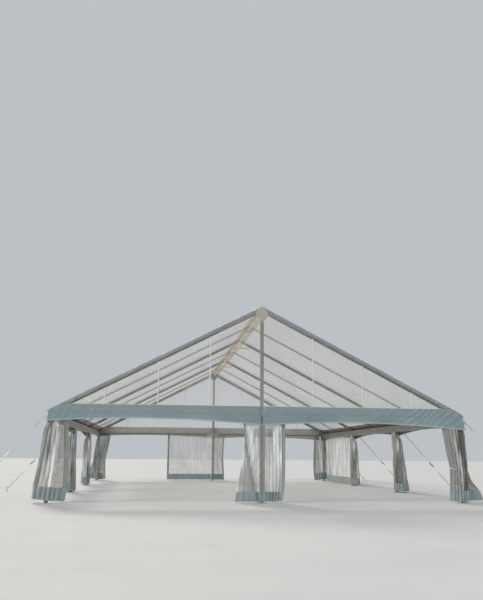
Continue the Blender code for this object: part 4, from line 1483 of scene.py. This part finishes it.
def corner_rows(side, end, plan):
    """Rows of a corner curtain, from its free edge round the corner to its side edge."""
    face = end * (HALF_LENGTH - 0.045)
    rows = []
    for z, free, corner, rear, behind in plan:
        share = float(np.interp(z, (2.0, 2.1, 2.2), (1.0, 0.85, 0.4)))
        tail = end * (HALF_LENGTH - behind)
        hollow = face - end * min(0.22, 0.6 * behind)
        turn = corner - 0.10 * float(rising(np.array(rear), 6.15, 6.5))
        rows.append((z, [
            (side * free, face), (side * (free + corner) / 2, face), (side * corner, face + end * 0.004),
            (side * turn, hollow), (side * rear, tail),
        ], share))
    return rows


def corner_curtains():
    for end_name, side_name, kind in (
        ("front", "left", "swept"), ("front", "right", "flapped"),
        ("back", "left", "flapped"), ("back", "right", "swept"),
    ):
        end, side = ENDS[end_name], SIDES[side_name]
        hang(
            f"corner_drape_{end_name}_{side_name}", f"corner_curtain_{end_name}_{side_name}",
            corner_rows(side, end, CORNER_PLANS[kind]), 10, (0.03, 0.062, 0.05, 0.04, 0.04), end * side,
            120 + 7 * end + 3 * side, [f"gable_beam_bar_{end_name}", f"eave_purlin_bar_{side_name}"],
            net=(96, 340), **CORNER_LOOKS[kind],
        )


# How far the gathered sidewalls reach inwards and outwards from a leg's middle, from the top down
SIDE_REACH = {
    ("right", 2): ((0.14, 0.085), (0.12, 0.22), (0.12, 0.30), (0.12, 0.47)),
    ("right", 3): ((0.14, 0.085), (0.13, 0.18), (0.14, 0.22), (0.14, 0.28)),
    ("left", 2): ((0.14, 0.085), (0.13, 0.17), (0.15, 0.20), (0.20, 0.26)),
    ("left", 3): ((0.14, 0.085), (0.13, 0.18), (0.15, 0.20), (0.16, 0.24)),
}


def leg_drapes():
    """Sidewalls gathered round the inner legs, drawn as one ring of deep folds."""
    heights = (PURLIN_FOOT - 0.004, 2.09, 1.95, 1.18, CURTAIN_FOOT)
    shares = (0.45, 0.5, 0.85, 1.0, 1.0)
    inset, count = 0.03, 17
    for (side_name, number), reaches in SIDE_REACH.items():
        side, y = SIDES[side_name], FRAMES[number - 1]
        rows = []
        for k, z in enumerate(heights):
            inwards, outwards = reaches[max(0, k - 1)]
            along = (0.20 if k < 2 else 0.25) - inset
            across = (outwards + inwards) / 2 - inset
            middle = LEG_MIDDLE + (outwards - inwards) / 2
            turns = np.linspace(-math.pi * 0.985, math.pi * 0.985, count)
            spots = [(side * (middle + across * math.cos(t)), y + along * math.sin(t)) for t in turns]
            rows.append((z, spots, shares[k]))
        hang(
            f"side_drape_{side_name}_{number}", f"side_curtain_{side_name}_{number}", rows, 15,
            (0.055,) * count, -side, 150 + 5 * number + side, [f"eave_purlin_bar_{side_name}"],
            strips=(0.06, 0.06), net=(90, 420), round_off=0.01, body=CORNER_FILM,
            rise=(0.02, 0.0, 0.03, 0.0, 0.02), pale=(0.2, 0.6, 0.3, 0.7, 0.2, 0.8, 0.4, 0.5, 0.2),
        )


def back_panels():
    """The walls drawn shut: beside the back king pole and in the last right bay."""
    back = POLE_BACK + 0.006
    beside = LEG / 2 + 0.007
    hung = ((CURTAIN_TOP, 0.6), (1.2, 1.0), (CURTAIN_FOOT, 1.0))
    rows = [(z, [(-2.40, back), (-1.2, back), (-beside, back)], share) for z, share in hung]
    hang(
        "closed_wall_back", "back_wall", rows, 15, (0.03, 0.035, 0.03), 1, 171, ["gable_beam_bar_back"],
        strips=(0.09, 0.0), body=WALL_FILM,
    )
    reaches = ((CURTAIN_TOP, 0.60), (2.16, 0.60), (1.2, 0.55), (CURTAIN_FOOT, 0.62))
    rows = [(z, [(beside, back), (reach / 2, back), (reach, back)], 1.0) for z, reach in reaches]
    hang(
        "centre_curtain_back", "back_curtain", rows, 9, (0.045, 0.05, 0.03), 1, 181, ["gable_beam_bar_back"],
        strips=(0.0, 0.085),
    )
    setback = 0.42
    start, end = FRAMES[2] + setback, PURLIN_END - setback
    x = LEG_OUT + 0.004
    rows = [(z, [(x, start), (x, (start + end) / 2), (x, end)], share) for z, share in hung]
    hang(
        "closed_wall_right", "side_wall", rows, 22, (0.02, 0.022, 0.02), -1, 191, ["eave_purlin_bar_right"],
        strips=(0.09, 0.09), body=WALL_FILM, net=(80, 520),
    )


def curtain_ties():
    """Ties round the waisted corner curtains, each a short cord and a ring."""
    bend = ((5.60, -0.02), (5.64, 0.03), (5.72, 0.035), (5.76, -0.01))
    for end_name, side_name in (("front", "right"), ("back", "left")):
        end, side = ENDS[end_name], SIDES[side_name]
        cord = [(side * x, end * (HALF_LENGTH + out), 1.0 - 0.02 * k) for k, (x, out) in enumerate(bend)]
        ring = ring_path((side * 5.63, end * (HALF_LENGTH + 0.02), 0.99), 0.018, ACROSS, UP, 12)
        tie = solid(f"curtain_tie_{end_name}_{side_name}", [tube(cord, 0.008), tube(ring, 0.006, True)], WELD)
        fit(tie, "strap_webbing")


# Guys


STRAP_TOP = Vector((LEG_OUT + 0.045, (frame_line(LEG_OUT) + rafter_top(LEG_OUT)) / 2))
STRAP_END = Vector((HALF_WIDTH + STAKE_REACH, 0.11))
STRAP_WIDTH = 0.048
STRAP_THICK = 0.0022
RATCHET_AT = 0.61


def ribbon(name, path, turns, level, over):
    """A flat strap along 3-D points, mapped in metres; turns lead from lying level to standing on edge."""
    path = np.array(path, float)
    across = np.cos(turns)[:, None] * np.array(level) + np.sin(turns)[:, None] * np.array(over)
    along = np.concatenate([[0], np.cumsum(np.linalg.norm(np.diff(path, axis=0), axis=1))])
    columns = 5
    share = np.linspace(-0.5, 0.5, columns)
    points = path[:, None, :] + across[:, None, :] * (share * STRAP_WIDTH)[None, :, None]
    flat = np.tile((share + 0.5) * STRAP_WIDTH, (len(path), 1))
    cloth = np.stack([flat, np.tile(along[:, None], (1, columns))], axis=-1)
    return shell(name, points, grid_faces(len(path), columns), [STRAP], cloth, thickness=STRAP_THICK)


def straight(start, end, count):
    share = np.linspace(0, 1, count)[:, None]
    return np.array(start)[None, :] * (1 - share) + np.array(end)[None, :] * share


def arc(centre, first, second, start_turn, end_turn, count=14):
    turns = np.linspace(start_turn, end_turn, count)[:, None]
    return np.array(centre) + np.array(first) * np.cos(turns) + np.array(second) * np.sin(turns)


def guys():
    """Ratchet straps from the eaves to stakes; each turns its face forward between its ends."""
    flat = (STRAP_END - STRAP_TOP).normalized()
    level = Vector(ALONG)
    for side_name, side in SIDES.items():
        line = Vector((side * flat.x, 0, flat.y))
        over = Vector((-side * flat.y, 0, flat.x))
        for number, y in enumerate(FRAMES, start=1):
            label = f"{side_name}_{number}"
            start = Vector((side * STRAP_TOP.x, y, STRAP_TOP.y))
            end = Vector((side * STRAP_END.x, y, STRAP_END.y))
            middle = start.lerp(end, RATCHET_AT)
            ring = start + line * 0.03
            main = straight(middle - line * 0.015 + over * 0.016, ring + over * 0.009 + line * 0.02, 60)
            upper = np.concatenate([
                main, arc(ring, over * 0.009, -line * 0.009, 0, math.pi),
                straight(ring - over * 0.009 + line * 0.02, ring - over * 0.004 + line * 0.20, 8),
            ])
            share = np.linspace(0, 1, len(main))
            turns = np.full(len(upper), math.pi)
            turns[:len(main)] = math.pi / 2 * (rising(share, 0.08, 0.28) + rising(share, 0.72, 0.90))
            fit(ribbon(f"guy_strap_{label}", upper, turns, level, over), "strap_webbing", f"guy_{label}")
            main = straight(middle + line * 0.10, end - line * 0.09 + level * 0.004, 40)
            lower = np.concatenate([
                main, straight(end - line * 0.07 + level * 0.009, end - line * 0.02 + level * 0.019, 5),
                arc(end, level * 0.0195, line * 0.028, 0.1, math.pi - 0.1, 18),
                straight(end - line * 0.02 - level * 0.019, end - line * 0.07 - level * 0.009, 5),
                straight(end - line * 0.09 - level * 0.004, end - line * 0.26 - level * 0.003, 10),
            ])
            turns = np.full(len(lower), math.pi / 2)
            turns[:len(main)] = math.pi / 2 * rising(np.linspace(0, 1, len(main)), 0.05, 0.45)
            fit(ribbon(f"stake_strap_{label}", lower, turns, level, over), "strap_webbing")
            fit(ratchet(f"ratchet_{label}", Vector((abs(middle.x), middle.z)), flat, side, y), "aluminium")
            fit(stake(f"stake_{label}", side, y), "aluminium")
            fit(eave_ring(f"eave_ring_{label}", Vector((abs(ring.x), ring.z)), flat, side, y), "aluminium")


def eave_ring(name, ring, line, side, y):
    """The D-ring that takes the strap, on a tongue from the rafter's end."""
    half = 0.029
    path = [(side * ring.x, y + t, ring.y) for t in (-half, -half / 2, 0, half / 2, half)]
    back = STRAP_TOP - line * 0.03
    for turn in np.linspace(0, math.pi, 12)[1:-1]:
        spot = ring.lerp(back, math.sin(turn))
        path.append((side * spot.x, y + half * math.cos(turn), spot.y))
    low, high = sorted(side * (LEG_OUT + reach) for reach in (0.002, 0.05))
    tongue = slab((low, y - 0.028, STRAP_TOP.y - 0.004), (high, y + 0.028, STRAP_TOP.y + 0.004))
    return solid(name, [tube(path, 0.0045, True), tongue], STEEL)


# Side plates and handles of a ratchet, seen from the side: along the strap and off it
RATCHET_SIDE = [
    (-0.12, -0.012), (0.03, -0.02), (0.055, -0.004), (0.045, 0.018), (-0.02, 0.014), (-0.12, 0.010)]
RATCHET_HANDLE = [(-0.03, 0.002), (0.0, -0.012), (0.115, 0.006), (0.122, 0.02), (0.11, 0.026), (0.0, 0.02)]
RATCHET_DRUM = [(0, 0.012), (0.001, 0.0165), (0.049, 0.0165), (0.05, 0.012)]

# Its pins: along the strap, off it, radius and half length
RATCHET_PINS = (
    (0.0, 0.002, 0.009, 0.041), (-0.11, 0.0, 0.006, 0.034), (0.112, 0.016, 0.008, 0.04),
    (0.03, 0.0, 0.005, 0.03),
)

# Where its frame plates, wheels and handle plates lie, out from its middle
FRAME_LAYER = (0.028, 0.0305)
WHEEL_LAYER = (0.0312, 0.0338)
HANDLE_LAYER = (0.0345, 0.037)
TEETH = 12


def ratchet(name, middle, line, side, y):
    """Side plates, toothed wheels, the wound drum, four cross pins and the folded handle."""
    off = Vector((-line.y, line.x))
    parts = []

    def spot(along, up, out):
        place = middle + line * along + off * up
        return Vector((side * place.x, y + out, place.y))

    def plate(outline, layers):
        rounded = profile(outline, 0.007)
        return lambda work: prism(work, [[spot(along, up, out) for along, up in rounded] for out in layers])

    teeth = []
    for k in range(2 * TEETH):
        radius = 0.021 if k % 2 else 0.0165
        teeth.append((radius * math.cos(math.pi * k / TEETH), radius * math.sin(math.pi * k / TEETH)))
    for way in (-1, 1):
        frame_layer, handle_layer, wheel_layer = (
            sorted(way * out for out in layer) for layer in (FRAME_LAYER, HANDLE_LAYER, WHEEL_LAYER))
        parts.append(plate(RATCHET_SIDE, frame_layer))
        parts.append(plate(RATCHET_HANDLE, handle_layer))
        parts.append(bar(teeth, *(spot(0, 0.002, out) for out in wheel_layer), ACROSS, UP))
    for along, up, radius, reach in RATCHET_PINS:
        parts.append(turned([(0, radius), (2 * reach, radius)], spot(along, up, -reach), ALONG, 14))
    parts.append(turned(RATCHET_DRUM, spot(0, 0.002, -0.025), ALONG, 18))
    return solid(name, parts, STEEL)


def stake(name, side, y):
    """A round steel stake with a forged head and a collar that keeps the strap down."""
    outline = [(0, 0.0125), (0.135, 0.0125), (0.138, 0.017), (0.146, 0.018), (0.148, 0.0125), (0.152, 0.0125),
               (0.154, 0.024), (0.166, 0.0255), (0.170, 0.021), (0.171, 0)]
    return solid(name, [turned(outline, (side * STRAP_END.x, y, 0), UP, 18)], DARK_STEEL)


# Room


FLOOR_REACH = 160.0
LAMPS = (
    ("key", (-0.25, 1.0, 0.75), 1.9, 14, (1.0, 0.95, 0.87)),
    ("fill", (-1.0, -0.42, 0.75), 1.5, 24, (1.0, 0.97, 0.93)),
)

# The photo's viewpoint: place, turn in degrees, and focal length in pixels over the photo's rows
CAMERA_PLACE = (-3.05, -21.07 - HALF_LENGTH, 1.34)
YAW, PITCH_UP, ROLL = 6.56, 12.03, 0.45
FOCAL_PIXELS = 725.0
PHOTO_ROWS = 600.0


def floor():
    mesh = bpy.data.meshes.new("floor")
    mesh.from_pydata([(x, y, 0) for x, y in rectangle(2 * FLOOR_REACH, 2 * FLOOR_REACH)], [], [(0, 1, 2, 3)])
    f = Finish("pale floor")
    grain = f.ramp(f.noise(f.coords, scale=0.6, detail=5.0), (0.3, 0.0), (0.7, 1.0))
    f.set(Base_Color=f.blend(grain, (0.50, 0.50, 0.49), (0.54, 0.54, 0.53)), Roughness=0.85)
    item = link("floor", mesh, f.material)
    item.location.z = -0.002


def lights():
    world = bpy.data.worlds.new("soft room")
    bpy.context.scene.world = world
    world.use_nodes = True
    back = world.node_tree.nodes["Background"]
    back.inputs["Color"].default_value = (0.90, 0.95, 1.0, 1)
    back.inputs["Strength"].default_value = 0.56
    for name, toward, energy, soft, colour in LAMPS:
        lamp = bpy.data.lights.new(name, "SUN")
        lamp.energy = energy
        lamp.angle = math.radians(soft)
        lamp.color = colour
        item = bpy.data.objects.new(name, lamp)
        bpy.context.scene.collection.objects.link(item)
        item.rotation_euler = Vector(toward).to_track_quat("Z", "Y").to_euler()


def camera():
    """The photo's viewpoint, looking right and up from near the ground."""
    yaw, pitch, roll = (math.radians(angle) for angle in (YAW, PITCH_UP, ROLL))
    ahead = Vector((math.sin(yaw) * math.cos(pitch), math.cos(yaw) * math.cos(pitch), math.sin(pitch)))
    right = Vector((math.cos(yaw), -math.sin(yaw), 0))
    up = right.cross(ahead)
    across = right * math.cos(roll) + up * math.sin(roll)
    upwards = up * math.cos(roll) - right * math.sin(roll)
    data = bpy.data.cameras.new("camera")
    data.sensor_width = 36.0
    data.lens = FOCAL_PIXELS / PHOTO_ROWS * data.sensor_width
    data.clip_end = 500.0
    item = bpy.data.objects.new("camera", data)
    bpy.context.scene.collection.objects.link(item)
    turn = Matrix((across, upwards, -ahead)).transposed()
    item.matrix_world = Matrix.Translation(CAMERA_PLACE) @ turn.to_4x4()
    bpy.context.scene.camera = item


camera()
lights()
floor()
legs()
rafters()
purlins()
gable_frames()
crown_plates()
carried_frame()
roof_covers()
ridge_band()
eave_covers()
gable_covers()
front_curtains()
corner_curtains()
leg_drapes()
back_panels()
curtain_ties()
guys()

bpy.context.scene.view_settings.view_transform = "Standard"
bpy.context.scene.cycles.transparent_max_bounces = 40
